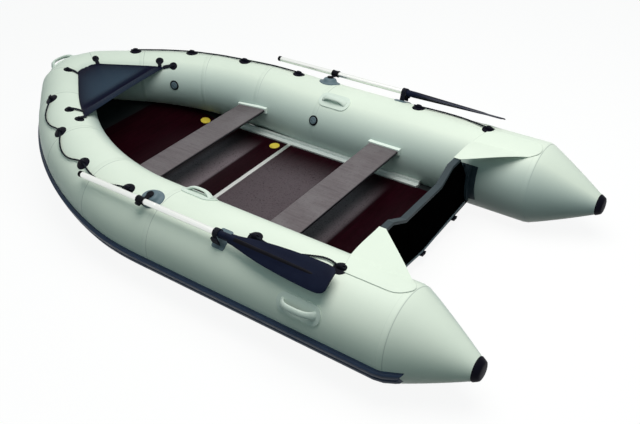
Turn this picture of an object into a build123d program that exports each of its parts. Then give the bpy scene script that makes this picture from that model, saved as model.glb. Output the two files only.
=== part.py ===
from build123d import *
import os
from math import asin, atan2, cos, degrees, radians, sin, sqrt, tan

os.makedirs("parts", exist_ok=True)

# Driving dimensions, millimetres.
# Lengths along the boat are counted forward from the stern cone seam; STERN_SEAM_X
# puts that seam in the part's frame, whose origin is the middle of the footprint.

# Buoyancy tube
TUBE_RADIUS = 220.0
BOW_RADIUS = 150.0
TUBE_HALF_SPACING = 680.0
BEND_START = 1552.0
BEND_RADIUS = 1588.0
FACET_ANGLE = 39.8
NOSE_CORNER_Y = 95.0
NOSE_CHAMFER = 60.0
BOW_RISE = 248.0
BEND_GORES = 5
CONE_LENGTH = 293.0
CONE_END_RADIUS = 52.0
CONE_DROP = 18.0
CAP_LENGTH = 46.0
CAP_RIM = 3.0
CAP_END_RADIUS = 36.0
GLUE_GAP = 0.3

# Rubbing strake
STRAKE_TOP_ANGLE = 97.0
STRAKE_WIDTH = 70.0
STRAKE_THICKNESS = 20.0
STRAKE_LIP = 7.0
STRAKE_GROOVE = 7.0
STRAKE_OVERHANG = 60.0

# Bottom
FLOOR_TOP_Z = 124.0
FLOOR_THICKNESS = 12.0
BOTTOM_EDGE = 4.0
RAIL_WIDTH = 44.0
RAIL_THICKNESS = 12.0
RAIL_INSET = 350.0
KEEL_END_SET_BACK = 59.0
KEEL_END_Z = 232.0

# Transom
TRANSOM_X = 329.0
TRANSOM_THICKNESS = 28.0
TRANSOM_TOP_Z = 428.0
TRANSOM_TOP_INSET = 314.0
TRANSOM_KEEL_Z = 68.0
TRANSOM_CHINE_Z = 108.0
TRANSOM_WAIST_Z = 258.0
TRANSOM_TUCK = 40.0
MOTOR_CUT_Z = 372.0
TRANSOM_HORN = 81.0
MOTOR_CUT_FLANK = 115.0
EDGING_THICKNESS = 3.0
EDGING_DEPTH = 14.0
MOTOR_PAD_WIDTH = 290.0
MOTOR_PAD_THICKNESS = 4.0
MOTOR_PAD_CORNER = 18.0
MOTOR_PAD_DROP = 2.0
AFT_PAD_HEIGHT = 220.0
FORE_PAD_HEIGHT = 120.0
HOLDER_WIDTH = 120.0
HOLDER_THICKNESS = 6.0
HOLDER_RIB_HEIGHT = 26.0
HOLDER_RIB_THICKNESS = 12.0
HOLDER_LOW_ANGLE = -112.0
HOLDER_HIGH_ANGLE = -60.0

# Transom gusset
GUSSET_THICKNESS = 3.0
GUSSET_ROOT_ANGLE = -27.0
GUSSET_ROOT_OVERLAP = 3.0
GUSSET_FLAP_ANGLE = 5.0
GUSSET_AFT_X = 24.0
GUSSET_FORE_X = 352.0
GUSSET_FLAP_FORE_X = 250.0
GUSSET_CORNER = 40.0
GUSSET_LIFT = 1.2

# Floorboards, joiners and stringers
BOARD_LENGTH = 566.0
BOARD_AFT_GAP = 6.0
BOW_BOARD_LENGTH = 430.0
JOINER_WIDTH = 26.0
JOINER_FLANGE = 3.0
JOINER_WEB = 4.0
STRINGER_WIDTH = 52.0
STRINGER_RIB = 9.0
STRINGER_INNER_RIB = 13.0
STRINGER_OUTER_RIB = 16.0
STRINGER_AFT_X = 600.0
STRINGER_FORE_X = 1975.0
STRINGER_SIDE = 4.0
PLUG_RADIUS = 31.0
PLUG_STEP_RADIUS = 25.0
PLUG_TOP_RADIUS = 22.0
PLUG_HEIGHT = 6.0
PLUG_INSET = 56.0
PLUG_AHEAD = 70.0

# Seats
SEAT_TOP_Z = 297.0
SEAT_WIDTH = 186.0
SEAT_THICKNESS = 18.0
SEAT_CORNER = 8.0
SEAT_PLACES = {"seat_aft": 830.0, "seat_fore": 1773.0}
BRACKET_DEPTH = 18.0
BRACKET_WALL = 8.0
BRACKET_OVERLAP = 8.0

# Lifeline
ROPE_DIAMETER = 10.0
ROPE_BEND_SHARE = 0.45
EYE_PATCH_RADIUS = 36.0
EYE_PATCH_THICKNESS = 4.0
EYE_HEIGHT = 11.0
EYE_WALL = 4.5
EYE_LENGTH = 26.0
EYE_CLEARANCE = 1.0
# the eyes of each side: distance along the tube, angle from the tube's top, outboard positive
EYE_PLACES = {
    "port": [(2590, 22.5), (2231, 23), (1900, 25), (1555, 19), (765, 11), (321, 4)],
    "starboard": [(2685, 7), (2330, 8), (1975, 4), (1607, 10), (765, 11), (321, 4)],
}

# Bow dodger
DODGER_SET_BACK = 77.0
DODGER_LENGTH = 496.0
DODGER_SKEW = 110.0
DODGER_AFT_DROP = 26.0
DODGER_FORE_DROP = 20.0
DODGER_HEEL = 16.0
DODGER_THICKNESS = 3.0
HEM_WIDTH = 60.0
HEM_THICKNESS = 6.0
TIE_PATCH_RADIUS = 26.0
TIE_PATCH_THICKNESS = 4.0
TIE_KNOB_RADIUS = 11.0
TIE_KNOB_TOP_RADIUS = 8.0
TIE_KNOB_HEIGHT = 14.0
# the tie patches of each side: distance along the tube, angle from the tube's top
TIE_PLACES = {"port": [(2415, -7), (2297, -17)], "starboard": [(2520, -28), (2425, -38)]}
# the foremost tie patch of each side: distance ahead of the nose mitre, angle
NOSE_TIES = {"port": (-20, -13), "starboard": (10, -24)}

# Handles: distance along the tube, angle, bar length
HANDLE_PLACES = {"handle_stern": (412, 66, 172), "handle_side": (1242, -28, 150)}
HANDLE_NOSE_ANGLE = 54.0
HANDLE_NOSE_LENGTH = 100.0
HANDLE_BAR_WIDTH = 26.0
HANDLE_BAR_THICKNESS = 13.0
HANDLE_GAP = 27.0
HANDLE_POST = 24.0
HANDLE_PLATE_MARGIN = 28.0
HANDLE_PLATE_WIDTH = 96.0
HANDLE_PLATE_THICKNESS = 6.0

# Tow eye under the nose
TOW_ANGLE = 147.0
TOW_HOLE_RADIUS = 12.0
TOW_WALL = 11.0
TOW_THICKNESS = 14.0
TOW_STEM = 22.0
TOW_PATCH_RADIUS = 42.0
TOW_PATCH_THICKNESS = 5.0

# Valves: distance along the tube, angle, side (1 port, -1 starboard)
VALVE_PLACES = [(1330, -66, 1), (1330, -66, -1), (2418, -78, -1)]
VALVE_RADIUS = 30.0
VALVE_FLANGE = 5.0
VALVE_CAP_RADIUS = 23.0
VALVE_CAP_HEIGHT = 12.0

# Oarlock and oar
LOCK_X = 1393.0
LOCK_ANGLE = 16.5
LOCK_FLANGE_LENGTH = 66.0
LOCK_FLANGE_WIDTH = 56.0
LOCK_FLANGE_THICKNESS = 6.0
LOCK_DOME_RADIUS = 42.0
LOCK_DOME_TOP_RADIUS = 27.0
LOCK_DOME_HEIGHT = 28.0
PIN_RADIUS = 7.0
PIN_DEPTH = 20.0
PIN_CLEARANCE = 0.05
SWIVEL_GAP = 0.5
SWIVEL_THICKNESS = 9.0
SWIVEL_RADIUS = 19.0
SWIVEL_ARM_WIDTH = 30.0
SHAFT_OFFSET = 57.0
SHAFT_HEIGHT = 48.0
SHAFT_RADIUS = 15.0
CLAMP_WALL = 5.0
CLAMP_LENGTH = 46.0
OAR_HANDLE_REACH = 446.0
OAR_NECK_REACH = 500.0
OAR_TIP_REACH = 1100.0
SHAFT_IN_NECK = 90.0
BLADE_ROOT_REACH = 562.0
NECK_WALL = 4.0
BLADE_HALF_WIDTH = 68.0
BLADE_SHOULDER_HALF = 56.0
BLADE_TIP_HALF = 61.0
BLADE_NECK_HALF = 24.0
BLADE_THICKNESS = 8.0
BLADE_SHOULDER = 250.0
BLADE_CORNER = 30.0
BLADE_ROLL = 12.0
RIB_END_RADIUS = 5.6
GRIP_LENGTH = 22.0
GRIP_RADIUS = 16.0

# Oar keeper
KEEPER_X = 905.0
KEEPER_LENGTH = 72.0
KEEPER_THICKNESS = 5.0
KEEPER_LOW_ANGLE = 16.0
KEEPER_HIGH_ANGLE = 42.0
STRAP_WIDTH = 30.0
STRAP_THICKNESS = 2.5
STRAP_CLEARANCE = 1.0

# Sizes and places that follow from the driving dimensions
FACET_TURN = radians(FACET_ANGLE)
FACET_START_S = BEND_START + BEND_RADIUS * FACET_TURN
FACET_LENGTH = (TUBE_HALF_SPACING - BEND_RADIUS * (1 - cos(FACET_TURN)) - NOSE_CORNER_Y) / sin(FACET_TURN)
MITRE_S = FACET_START_S + FACET_LENGTH - NOSE_CHAMFER
NOSE_CORNER_X = BEND_START + BEND_RADIUS * sin(FACET_TURN) + FACET_LENGTH * cos(FACET_TURN)
TRANSOM_HALF = TRANSOM_THICKNESS / 2
TRANSOM_TOP_HALF = TUBE_HALF_SPACING - TRANSOM_TOP_INSET
MOTOR_CUT_SHOULDER = TRANSOM_TOP_HALF - TRANSOM_HORN
MOTOR_CUT_HALF = MOTOR_CUT_SHOULDER - MOTOR_CUT_FLANK
BOTTOM_TOP_Z = FLOOR_TOP_Z - FLOOR_THICKNESS
STRINGER_TOP_Z = FLOOR_TOP_Z + GLUE_GAP + 2 * STRINGER_RIB
STRINGER_OUTER_Y = TUBE_HALF_SPACING - sqrt(TUBE_RADIUS**2 - (TUBE_RADIUS - STRINGER_TOP_Z) ** 2) - GLUE_GAP
STRINGER_INNER_Y = STRINGER_OUTER_Y - STRINGER_WIDTH
DODGER_FORE_X = NOSE_CORNER_X - DODGER_SET_BACK
DODGER_AFT_X = DODGER_FORE_X - DODGER_LENGTH
STRAKE_CREST = radians(STRAKE_TOP_ANGLE) + STRAKE_LIP / 2 / BOW_RADIUS
BOW_REACH = NOSE_CORNER_X + (BOW_RADIUS + STRAKE_THICKNESS) * sin(STRAKE_CREST)
STERN_SEAM_X = -(BOW_REACH - CONE_LENGTH - CAP_LENGTH) / 2

PORT = Plane.XZ
SIDES = ("port", "starboard")


def save(node, shape):
    """Write one node as a STEP file."""
    export_step(shape, f"parts/{node}.step")


def on_side(side, port_shape):
    """A shape built on the port side, mirrored when it belongs to starboard."""
    return port_shape if side == "port" else mirror(port_shape, about=PORT)


def save_pair(node, port_shape):
    """Write a port piece and its mirrored starboard twin."""
    for side in SIDES:
        save(f"{node}_{side}", on_side(side, port_shape))


def both_sides(port_shape):
    """A port piece and its starboard twin as two solids of one node."""
    return Compound([on_side(side, port_shape) for side in SIDES])


def direction(heading):
    """Horizontal unit vectors along the tube and outboard of it, port side."""
    turn = radians(heading)
    return Vector(cos(turn), -sin(turn), 0), Vector(sin(turn), cos(turn), 0)


def bow_share(x):
    """How far a point is along the rising, tapering bow, from 0 to 1."""
    return min(max((x - BEND_START) / (NOSE_CORNER_X - BEND_START), 0.0), 1.0)


def section_at(x, y, heading):
    """Centre, heading and radius of the port tube's section through a plan point."""
    if x < 0:
        cone_share = -x / CONE_LENGTH
        radius = TUBE_RADIUS - (TUBE_RADIUS - CONE_END_RADIUS) * cone_share
        height = TUBE_RADIUS - CONE_DROP * cone_share
    else:
        share = bow_share(x)
        radius = TUBE_RADIUS + (BOW_RADIUS - TUBE_RADIUS) * share
        height = radius + BOW_RISE * share
    return Vector(x + STERN_SEAM_X, y, height), heading, radius


def tube_top(x):
    """Height of the tube's top, forward of the stern seam by x."""
    centre, _, radius = section_at(x, 0.0, 0.0)
    return centre.Z + radius


def facet_point(along):
    """Plan point on the straight facet between the bend and the nose."""
    x = BEND_START + BEND_RADIUS * sin(FACET_TURN) + along * cos(FACET_TURN)
    y = TUBE_HALF_SPACING - BEND_RADIUS * (1 - cos(FACET_TURN)) - along * sin(FACET_TURN)
    return x, y


def tube_section(s):
    """Section of the port tube at a distance along its centre line from the stern seam."""
    if s <= BEND_START:
        return section_at(s, TUBE_HALF_SPACING, 0.0)
    if s <= FACET_START_S:
        turn = (s - BEND_START) / BEND_RADIUS
        x = BEND_START + BEND_RADIUS * sin(turn)
        y = TUBE_HALF_SPACING - BEND_RADIUS * (1 - cos(turn))
        return section_at(x, y, degrees(turn))
    x, y = facet_point(s - FACET_START_S)
    return section_at(x, y, FACET_ANGLE)


def nose_sections():
    """Sections at the two mitres of the port nose corner and at the boat's middle."""
    corner_half = (90.0 - FACET_ANGLE) / 4
    aft = (NOSE_CORNER_X - NOSE_CHAMFER * cos(FACET_TURN), NOSE_CORNER_Y + NOSE_CHAMFER * sin(FACET_TURN))
    fore = (NOSE_CORNER_X, NOSE_CORNER_Y - NOSE_CHAMFER)
    return [
        section_at(*aft, FACET_ANGLE + corner_half),
        section_at(*fore, 90.0 - corner_half),
        section_at(NOSE_CORNER_X, 0.0, 90.0),
    ]


def section_plane(section):
    """Plane of a tube section: local X outboard, local Y up."""
    centre, heading, _ = section
    along, outboard = direction(heading)
    return Plane(origin=centre, x_dir=outboard, z_dir=along)


def surface_point(section, angle, lift=0.0):
    """Point on the tube at an angle from its top, outboard positive."""
    centre, heading, radius = section
    _, outboard = direction(heading)
    turn = radians(angle)
    return centre + (outboard * sin(turn) + Vector(0, 0, cos(turn))) * (radius + lift)


def surface_plane(section, angle, lift=0.0):
    """Plane on the tube's skin: local X forward along the tube, local Z outwards."""
    centre, heading, _ = section
    along, outboard = direction(heading)
    turn = radians(angle)
    normal = outboard * sin(turn) + Vector(0, 0, cos(turn))
    return Plane(origin=surface_point(section, angle, lift), x_dir=along, z_dir=normal)


def mirrored_section(section):
    """The same section on the starboard side of the nose."""
    centre, heading, radius = section
    return Vector(centre.X, -centre.Y, centre.Z), 180.0 - heading, radius


def round_loft(sections, growth):
    """Gored tube: straight-sided panels between round sections."""
    return loft([section_plane(sec) * Circle(sec[2] + growth) for sec in sections], ruled=True)


def quarter_sections():
    """Sections of the curved bow quarter, from the bend's start to the nose mitre."""
    step = (FACET_START_S - BEND_START) / BEND_GORES
    return [tube_section(BEND_START + step * i) for i in range(BEND_GORES + 1)] + nose_sections()[:1]


def stern_tube(growth=0.0):
    """Straight side tube with its stern cone, whose tip sits a little low."""
    return round_loft([tube_section(s) for s in (-CONE_LENGTH, 0.0, BEND_START)], growth)


def bow_quarter(growth=0.0):
    """Curved, tapering and rising bow quarter of the tube."""
    return round_loft(quarter_sections(), growth)


def nose_tube(growth=0.0):
    """Short blunt nose between the two bow quarters."""
    port = nose_sections()[:2]
    starboard = [mirrored_section(sec) for sec in reversed(port)]
    return round_loft(port + starboard, growth)


def tube_cutters(clearance):
    """Tube solids grown by a clearance, to trim what is glued to the skin."""
    port = [stern_tube(clearance), bow_quarter(clearance)]
    return port + [mirror(tube, about=PORT) for tube in port] + [nose_tube(clearance)]


GLUE_CUTTERS = tube_cutters(GLUE_GAP)
PORT_STERN, PORT_QUARTER, STARBOARD_STERN, STARBOARD_QUARTER, NOSE = GLUE_CUTTERS


def largest(shape):
    """The main solid of a trimmed shape."""
    return max(shape.solids(), key=lambda solid: solid.volume)


def trimmed(shape, *cutters):
    """Cut tubes out of a shape and keep its main solid."""
    for cutter in cutters or GLUE_CUTTERS:
        shape = shape - cutter
    return largest(shape)


def cone_cap():
    """Turned rubber cap on the end of a stern cone."""
    axis = Axis((STERN_SEAM_X, TUBE_HALF_SPACING, TUBE_RADIUS - CONE_DROP), (1, 0, 0))
    end = -CONE_LENGTH - CAP_LENGTH
    bevel = CAP_RIM * 2
    profile = Polyline(
        (-CONE_LENGTH, 0),
        (-CONE_LENGTH, CONE_END_RADIUS + CAP_RIM),
        (-CONE_LENGTH - bevel, CONE_END_RADIUS + CAP_RIM),
        (end + bevel, CAP_END_RADIUS),
        (end, CAP_END_RADIUS - bevel),
        (end, 0),
        close=True,
    )
    frame = Plane(origin=axis.position, x_dir=(1, 0, 0), z_dir=(0, -1, 0))
    return revolve(frame * make_face(profile), axis=axis)


def strake_face(section):
    """Ribbed strake profile on one tube section: two ridges with a groove between."""
    radius = section[2]
    low = STRAKE_TOP_ANGLE + degrees(STRAKE_WIDTH / radius)
    middle = (STRAKE_TOP_ANGLE + low) / 2
    edge = degrees(STRAKE_LIP / 2 / radius)

    def at(angle, lift):
        turn = radians(angle)
        return (radius + lift) * sin(turn), (radius + lift) * cos(turn)

    skin = ThreePointArc(at(low, GLUE_GAP), at(middle, GLUE_GAP), at(STRAKE_TOP_ANGLE, GLUE_GAP))
    ridges = Polyline(
        at(STRAKE_TOP_ANGLE, GLUE_GAP),
        at(STRAKE_TOP_ANGLE, STRAKE_LIP),
        at(STRAKE_TOP_ANGLE + edge, STRAKE_THICKNESS),
        at(middle - edge, STRAKE_THICKNESS),
        at(middle, STRAKE_THICKNESS - STRAKE_GROOVE),
        at(middle + edge, STRAKE_THICKNESS),
        at(low - edge, STRAKE_THICKNESS),
        at(low, STRAKE_LIP),
        at(low, GLUE_GAP),
    )
    return section_plane(section) * make_face([skin, ridges])


def strake():
    """Strake along one side, from the stern cone to the middle of the nose."""
    sections = [tube_section(-STRAKE_OVERHANG), tube_section(0.0)]
    sections += quarter_sections() + nose_sections()[1:]
    return loft([strake_face(sec) for sec in sections], ruled=True)


def joint_places():
    """Places of the floorboard joints, forward from the stern seam."""
    first = TRANSOM_X + TRANSOM_HALF + BOARD_AFT_GAP
    return [first + BOARD_LENGTH * i for i in range(4)]


def floor_line(x):
    """Height of the floorboards' underside: flat, then rising with the bow."""
    slope = BOW_RISE / (NOSE_CORNER_X - BEND_START)
    return FLOOR_TOP_Z - FLOOR_THICKNESS + slope * max(x - joint_places()[3], 0.0)


def bottom_section(x, keel_z):
    """V section of the bottom at one place: flat top, thin edges, keel in the middle."""
    edge_z = floor_line(x)
    half = TUBE_HALF_SPACING
    outline = Polyline(
        (-half, edge_z),
        (half, edge_z),
        (half, edge_z - BOTTOM_EDGE),
        (0, keel_z),
        (-half, edge_z - BOTTOM_EDGE),
        close=True,
    )
    plane = Plane(origin=(x + STERN_SEAM_X, 0, 0), x_dir=(0, 1, 0), z_dir=(1, 0, 0))
    return plane * make_face(outline)


# keel line, one row per section: distance from the stern seam, height of the keel
KEEL_LINE = [
    (TRANSOM_X - TRANSOM_HALF, TRANSOM_KEEL_Z),
    (1000, 36),
    (1700, 36),
    (joint_places()[3], 66),
    (NOSE_CORNER_X - KEEL_END_SET_BACK, KEEL_END_Z),
]


def bottom_skin():
    """V bottom with its inflated keel, trimmed where it meets the tubes."""
    body = loft([bottom_section(x, keel) for x, keel in KEEL_LINE], ruled=True)
    return trimmed(body - transom_blank(TRANSOM_THICKNESS))


def transom_outline(drop=0.0):
    """Outline of the transom board seen from astern, before the tubes trim it."""
    half = [
        (0, TRANSOM_KEEL_Z),
        (TUBE_HALF_SPACING - TUBE_RADIUS, TRANSOM_CHINE_Z),
        (TUBE_HALF_SPACING - TUBE_RADIUS + TRANSOM_TUCK, TRANSOM_CHINE_Z),
        (TUBE_HALF_SPACING - TUBE_RADIUS, TRANSOM_WAIST_Z),
        (TRANSOM_TOP_HALF, TRANSOM_TOP_Z),
        (MOTOR_CUT_SHOULDER, TRANSOM_TOP_Z),
        (MOTOR_CUT_HALF, MOTOR_CUT_Z),
    ]
    points = half + [(-y, z) for y, z in reversed(half[1:])]
    return make_face(Polyline(*[(y, z - drop) for y, z in points], close=True))


def across(x):
    """Vertical plane across the boat: local X to port, local Y up, facing forward."""
    return Plane(origin=(x + STERN_SEAM_X, 0, 0), x_dir=(0, 1, 0), z_dir=(1, 0, 0))


def transom_blank(thickness, drop=0.0):
    """Transom outline made a board of some thickness about its own plane."""
    return extrude(across(TRANSOM_X) * transom_outline(drop), thickness / 2, both=True)


def transom_board():
    """Plywood transom trimmed to its holders on the tubes."""
    bore = TUBE_RADIUS + GLUE_GAP + HOLDER_THICKNESS + GLUE_GAP
    board = transom_blank(TRANSOM_THICKNESS)
    for side in (1, -1):
        place = across(TRANSOM_X) * Location((side * TUBE_HALF_SPACING, TUBE_RADIUS))
        board -= extrude(place * Circle(bore), TRANSOM_THICKNESS, both=True)
    return largest(board)


def transom_edging():
    """Channel section over the transom's top edge, with the motor cut-out's shape."""
    outer = extrude(
        across(TRANSOM_X) * offset(transom_outline(), EDGING_THICKNESS, kind=Kind.INTERSECTION),
        TRANSOM_HALF + EDGING_THICKNESS,
        both=True,
    )
    channel = outer - transom_blank(TRANSOM_THICKNESS)
    channel -= transom_blank(TRANSOM_THICKNESS * 2, EDGING_DEPTH)
    reach = Box(TRANSOM_THICKNESS * 2, TRANSOM_TOP_HALF * 2, TRANSOM_TOP_Z - MOTOR_CUT_Z + EDGING_DEPTH * 2)
    centre_z = (TRANSOM_TOP_Z + MOTOR_CUT_Z) / 2
    return largest(channel & Pos(TRANSOM_X + STERN_SEAM_X, 0, centre_z) * reach)


def motor_pad(side, height):
    """Pressure pad for the motor clamp on one face of the transom: 1 fore, -1 aft."""
    top = MOTOR_CUT_Z - EDGING_DEPTH - MOTOR_PAD_DROP
    plane = across(TRANSOM_X + side * TRANSOM_HALF)
    outline = Pos(0, top - height / 2) * RectangleRounded(MOTOR_PAD_WIDTH, height, MOTOR_PAD_CORNER)
    return extrude(plane * outline, side * MOTOR_PAD_THICKNESS)


def ring_sector(inner, outer, low_angle, high_angle):
    """Flat ring sector on the port tube's section, between two angles from its top."""

    def at(radius, angle):
        turn = radians(angle)
        return radius * sin(turn), radius * cos(turn)

    middle = (low_angle + high_angle) / 2
    edges = [
        ThreePointArc(at(outer, low_angle), at(outer, middle), at(outer, high_angle)),
        Line(at(outer, high_angle), at(inner, high_angle)),
        ThreePointArc(at(inner, high_angle), at(inner, middle), at(inner, low_angle)),
        Line(at(inner, low_angle), at(outer, low_angle)),
    ]
    return make_face(edges)


def transom_holder():
    """Moulded holder glued to the tube: a curved foot with two ribs that grip the board."""
    inner = TUBE_RADIUS + GLUE_GAP
    foot_face = ring_sector(inner, inner + HOLDER_THICKNESS, HOLDER_LOW_ANGLE, HOLDER_HIGH_ANGLE)
    rib_face = ring_sector(inner, inner + HOLDER_RIB_HEIGHT, HOLDER_LOW_ANGLE, HOLDER_HIGH_ANGLE)
    plane = section_plane(tube_section(TRANSOM_X))
    holder = extrude(plane * foot_face, HOLDER_WIDTH / 2, both=True)
    rib = extrude(plane * rib_face, HOLDER_RIB_THICKNESS)
    for place in (TRANSOM_HALF + GLUE_GAP, -TRANSOM_HALF - GLUE_GAP - HOLDER_RIB_THICKNESS):
        holder += Pos(place, 0, 0) * rib
    return holder


def gusset():
    """Fabric web from the transom's top corner to the tube, with its glued flap."""
    root_y = TUBE_HALF_SPACING + TUBE_RADIUS * sin(radians(GUSSET_ROOT_ANGLE))
    root_z = TUBE_RADIUS + (TUBE_RADIUS + GLUE_GAP) * cos(radians(GUSSET_ROOT_ANGLE))
    top_z = TRANSOM_TOP_Z + EDGING_THICKNESS + GUSSET_LIFT
    board_x = TRANSOM_X + STERN_SEAM_X
    corner_y = TRANSOM_TOP_HALF - 4 * EDGING_THICKNESS
    slope = (root_z - top_z) / (root_y - corner_y)
    web_plane = Plane(origin=(board_x, corner_y, top_z), x_dir=(1, 0, 0), z_dir=(0, -slope, 1))
    reach = (root_y - corner_y) * sqrt(1 + slope**2)
    web_outline = Polyline(
        (TRANSOM_HALF, 0),
        (GUSSET_FORE_X - TRANSOM_X, reach),
        (GUSSET_AFT_X - TRANSOM_X, reach),
        (-TRANSOM_HALF, 0),
        close=True,
    )
    web = extrude(web_plane * make_face(web_outline), GUSSET_THICKNESS)
    inner = TUBE_RADIUS + GLUE_GAP
    flap_root = GUSSET_ROOT_ANGLE - GUSSET_ROOT_OVERLAP
    flap_face = ring_sector(inner, inner + GUSSET_THICKNESS, flap_root, GUSSET_FLAP_ANGLE)
    flap = extrude(section_plane(tube_section(0.0)) * flap_face, TUBE_RADIUS * 2, both=True)
    flap_y = TUBE_HALF_SPACING + inner * sin(radians(GUSSET_FLAP_ANGLE))
    plan = make_face(
        Polyline(
            (GUSSET_AFT_X, root_y - GUSSET_CORNER),
            (GUSSET_AFT_X, flap_y),
            (GUSSET_FLAP_FORE_X, flap_y),
            (GUSSET_FORE_X, root_y),
            (GUSSET_FORE_X, root_y - GUSSET_CORNER),
            close=True,
        )
    )
    plan = fillet(plan.vertices().sort_by(Axis.Y)[-2:], GUSSET_CORNER)
    flap &= extrude(Pos(STERN_SEAM_X, 0) * plan, TUBE_RADIUS * 3)
    return trimmed(web + flap, PORT_STERN)


def bottom_rails():
    """Keel strip and two side strips under the bottom, their ends showing astern."""
    rails = []
    aft = TRANSOM_X - TRANSOM_HALF - RAIL_THICKNESS
    spacing = TUBE_HALF_SPACING - RAIL_INSET
    for y in (-spacing, 0.0, spacing):
        faces = []
        for x, keel in [(aft, KEEL_LINE[0][1])] + KEEL_LINE[1:3]:
            edge = BOTTOM_TOP_Z - BOTTOM_EDGE
            under = keel + (edge - keel) * abs(y) / TUBE_HALF_SPACING
            slope = (edge - keel) / TUBE_HALF_SPACING * (RAIL_WIDTH / 2)
            inner = slope if y else 0.0
            outline = Polyline(
                (y - RAIL_WIDTH / 2, under - GLUE_GAP - abs(inner)),
                (y + RAIL_WIDTH / 2, under - GLUE_GAP - abs(inner)),
                (y + RAIL_WIDTH / 3, under - RAIL_THICKNESS),
                (y - RAIL_WIDTH / 3, under - RAIL_THICKNESS),
                close=True,
            )
            faces.append(across(x) * make_face(outline))
        rails.append(loft(faces, ruled=True))
    return Compound(rails)


def floorboard(aft, fore):
    """Plywood floorboard between two joints, on the floor line, trimmed to the tubes."""
    half = STRINGER_INNER_Y + STRINGER_SIDE
    profile = Polyline(
        (aft, floor_line(aft)),
        (fore, floor_line(fore)),
        (fore, floor_line(fore) + FLOOR_THICKNESS),
        (aft, floor_line(aft) + FLOOR_THICKNESS),
        close=True,
    )
    side = Plane(origin=(STERN_SEAM_X, 0, 0), x_dir=(1, 0, 0), z_dir=(0, -1, 0))
    return trimmed(extrude(side * make_face(profile), half, both=True))


def floorboards():
    """Three flat boards and the rising bow board, by node name."""
    places = joint_places()
    gap = JOINER_WEB / 2 + GLUE_GAP
    names = ["floorboard_aft", "floorboard_mid", "floorboard_fore"]
    boards = {}
    for i, name in enumerate(names):
        start = places[i] + (gap if i else 0.0)
        boards[name] = floorboard(start, places[i + 1] - gap)
    start = places[3] + gap
    boards["floorboard_bow"] = floorboard(start, start + BOW_BOARD_LENGTH)
    return boards


def floor_joiners():
    """H-section joiners between the floorboards."""
    half = STRINGER_INNER_Y - GLUE_GAP
    web = Pos(0, -FLOOR_THICKNESS / 2) * Rectangle(JOINER_WEB, FLOOR_THICKNESS)
    flange = Pos(0, JOINER_FLANGE / 2) * Rectangle(JOINER_WIDTH, JOINER_FLANGE)
    plane = Plane(origin=(0, 0, FLOOR_TOP_Z), x_dir=(1, 0, 0), z_dir=(0, -1, 0))
    joiner = extrude(plane * (web + flange), half, both=True)
    return Compound([Pos(x + STERN_SEAM_X, 0, 0) * joiner for x in joint_places()[1:3]])


def stringer():
    """Side stringer: a channel on the boards' edge with two ribs along its top."""
    base = FLOOR_TOP_Z + GLUE_GAP
    outline = Polyline(
        (STRINGER_INNER_Y, base),
        (STRINGER_INNER_Y, base + STRINGER_RIB),
        (STRINGER_INNER_Y + STRINGER_INNER_RIB, base + STRINGER_RIB),
        (STRINGER_INNER_Y + STRINGER_INNER_RIB, base + STRINGER_SIDE),
        (STRINGER_OUTER_Y - STRINGER_OUTER_RIB, base + STRINGER_SIDE),
        (STRINGER_OUTER_Y - STRINGER_OUTER_RIB, STRINGER_TOP_Z),
        (STRINGER_OUTER_Y, STRINGER_TOP_Z),
        (STRINGER_OUTER_Y, BOTTOM_TOP_Z + GLUE_GAP),
        (STRINGER_INNER_Y + STRINGER_SIDE + GLUE_GAP, BOTTOM_TOP_Z + GLUE_GAP),
        (STRINGER_INNER_Y + STRINGER_SIDE + GLUE_GAP, base),
        close=True,
    )
    length = STRINGER_FORE_X - STRINGER_AFT_X
    return trimmed(extrude(across(STRINGER_AFT_X) * make_face(outline), length), PORT_STERN, PORT_QUARTER)


def floor_plugs():
    """Round stepped plugs over the floorboards' lifting holes, square to their boards."""
    half = PLUG_HEIGHT / 2
    rim = Pos(0, 0, half / 2) * Cylinder(PLUG_RADIUS, half)
    plug = rim + Pos(0, 0, half * 1.5) * Cone(PLUG_STEP_RADIUS, PLUG_TOP_RADIUS, half)
    plugs = []
    for joint in joint_places()[2:]:
        x = joint + PLUG_AHEAD
        rise = (floor_line(x) - floor_line(joint)) / PLUG_AHEAD
        seat = (x + STERN_SEAM_X, PLUG_INSET - STRINGER_INNER_Y, floor_line(x) + FLOOR_THICKNESS)
        plugs.append(Plane(origin=seat, x_dir=(1, 0, rise), z_dir=(-rise, 0, 1)) * plug)
    return Compound(plugs)


def centre_line_turn(x):
    """Heading in radians of the port tube's centre line, forward of the stern seam by x."""
    return asin(min(max(x - BEND_START, 0.0) / BEND_RADIUS, sin(FACET_TURN)))


def centre_line_y(x):
    """Offset to port of the tube's centre line, forward of the stern seam by x."""
    turn = centre_line_turn(x)
    beyond_bend = max(x - BEND_START - BEND_RADIUS * sin(FACET_TURN), 0.0)
    return TUBE_HALF_SPACING - BEND_RADIUS * (1 - cos(turn)) - beyond_bend * tan(FACET_TURN)


def inner_half_width(x, z):
    """Half-width of the cockpit between the tubes at one place and height."""
    y = centre_line_y(x)
    turn = centre_line_turn(x)
    centre, _, radius = section_at(x, y, degrees(turn))
    return y - sqrt(radius**2 - (z - centre.Z) ** 2) / cos(turn)


def seat_ends(x):
    """Half-widths of the cockpit at a seat's aft and fore edges."""
    middle_z = SEAT_TOP_Z - SEAT_THICKNESS / 2
    return [inner_half_width(x + side * SEAT_WIDTH / 2, middle_z) for side in (-1, 1)]


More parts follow.
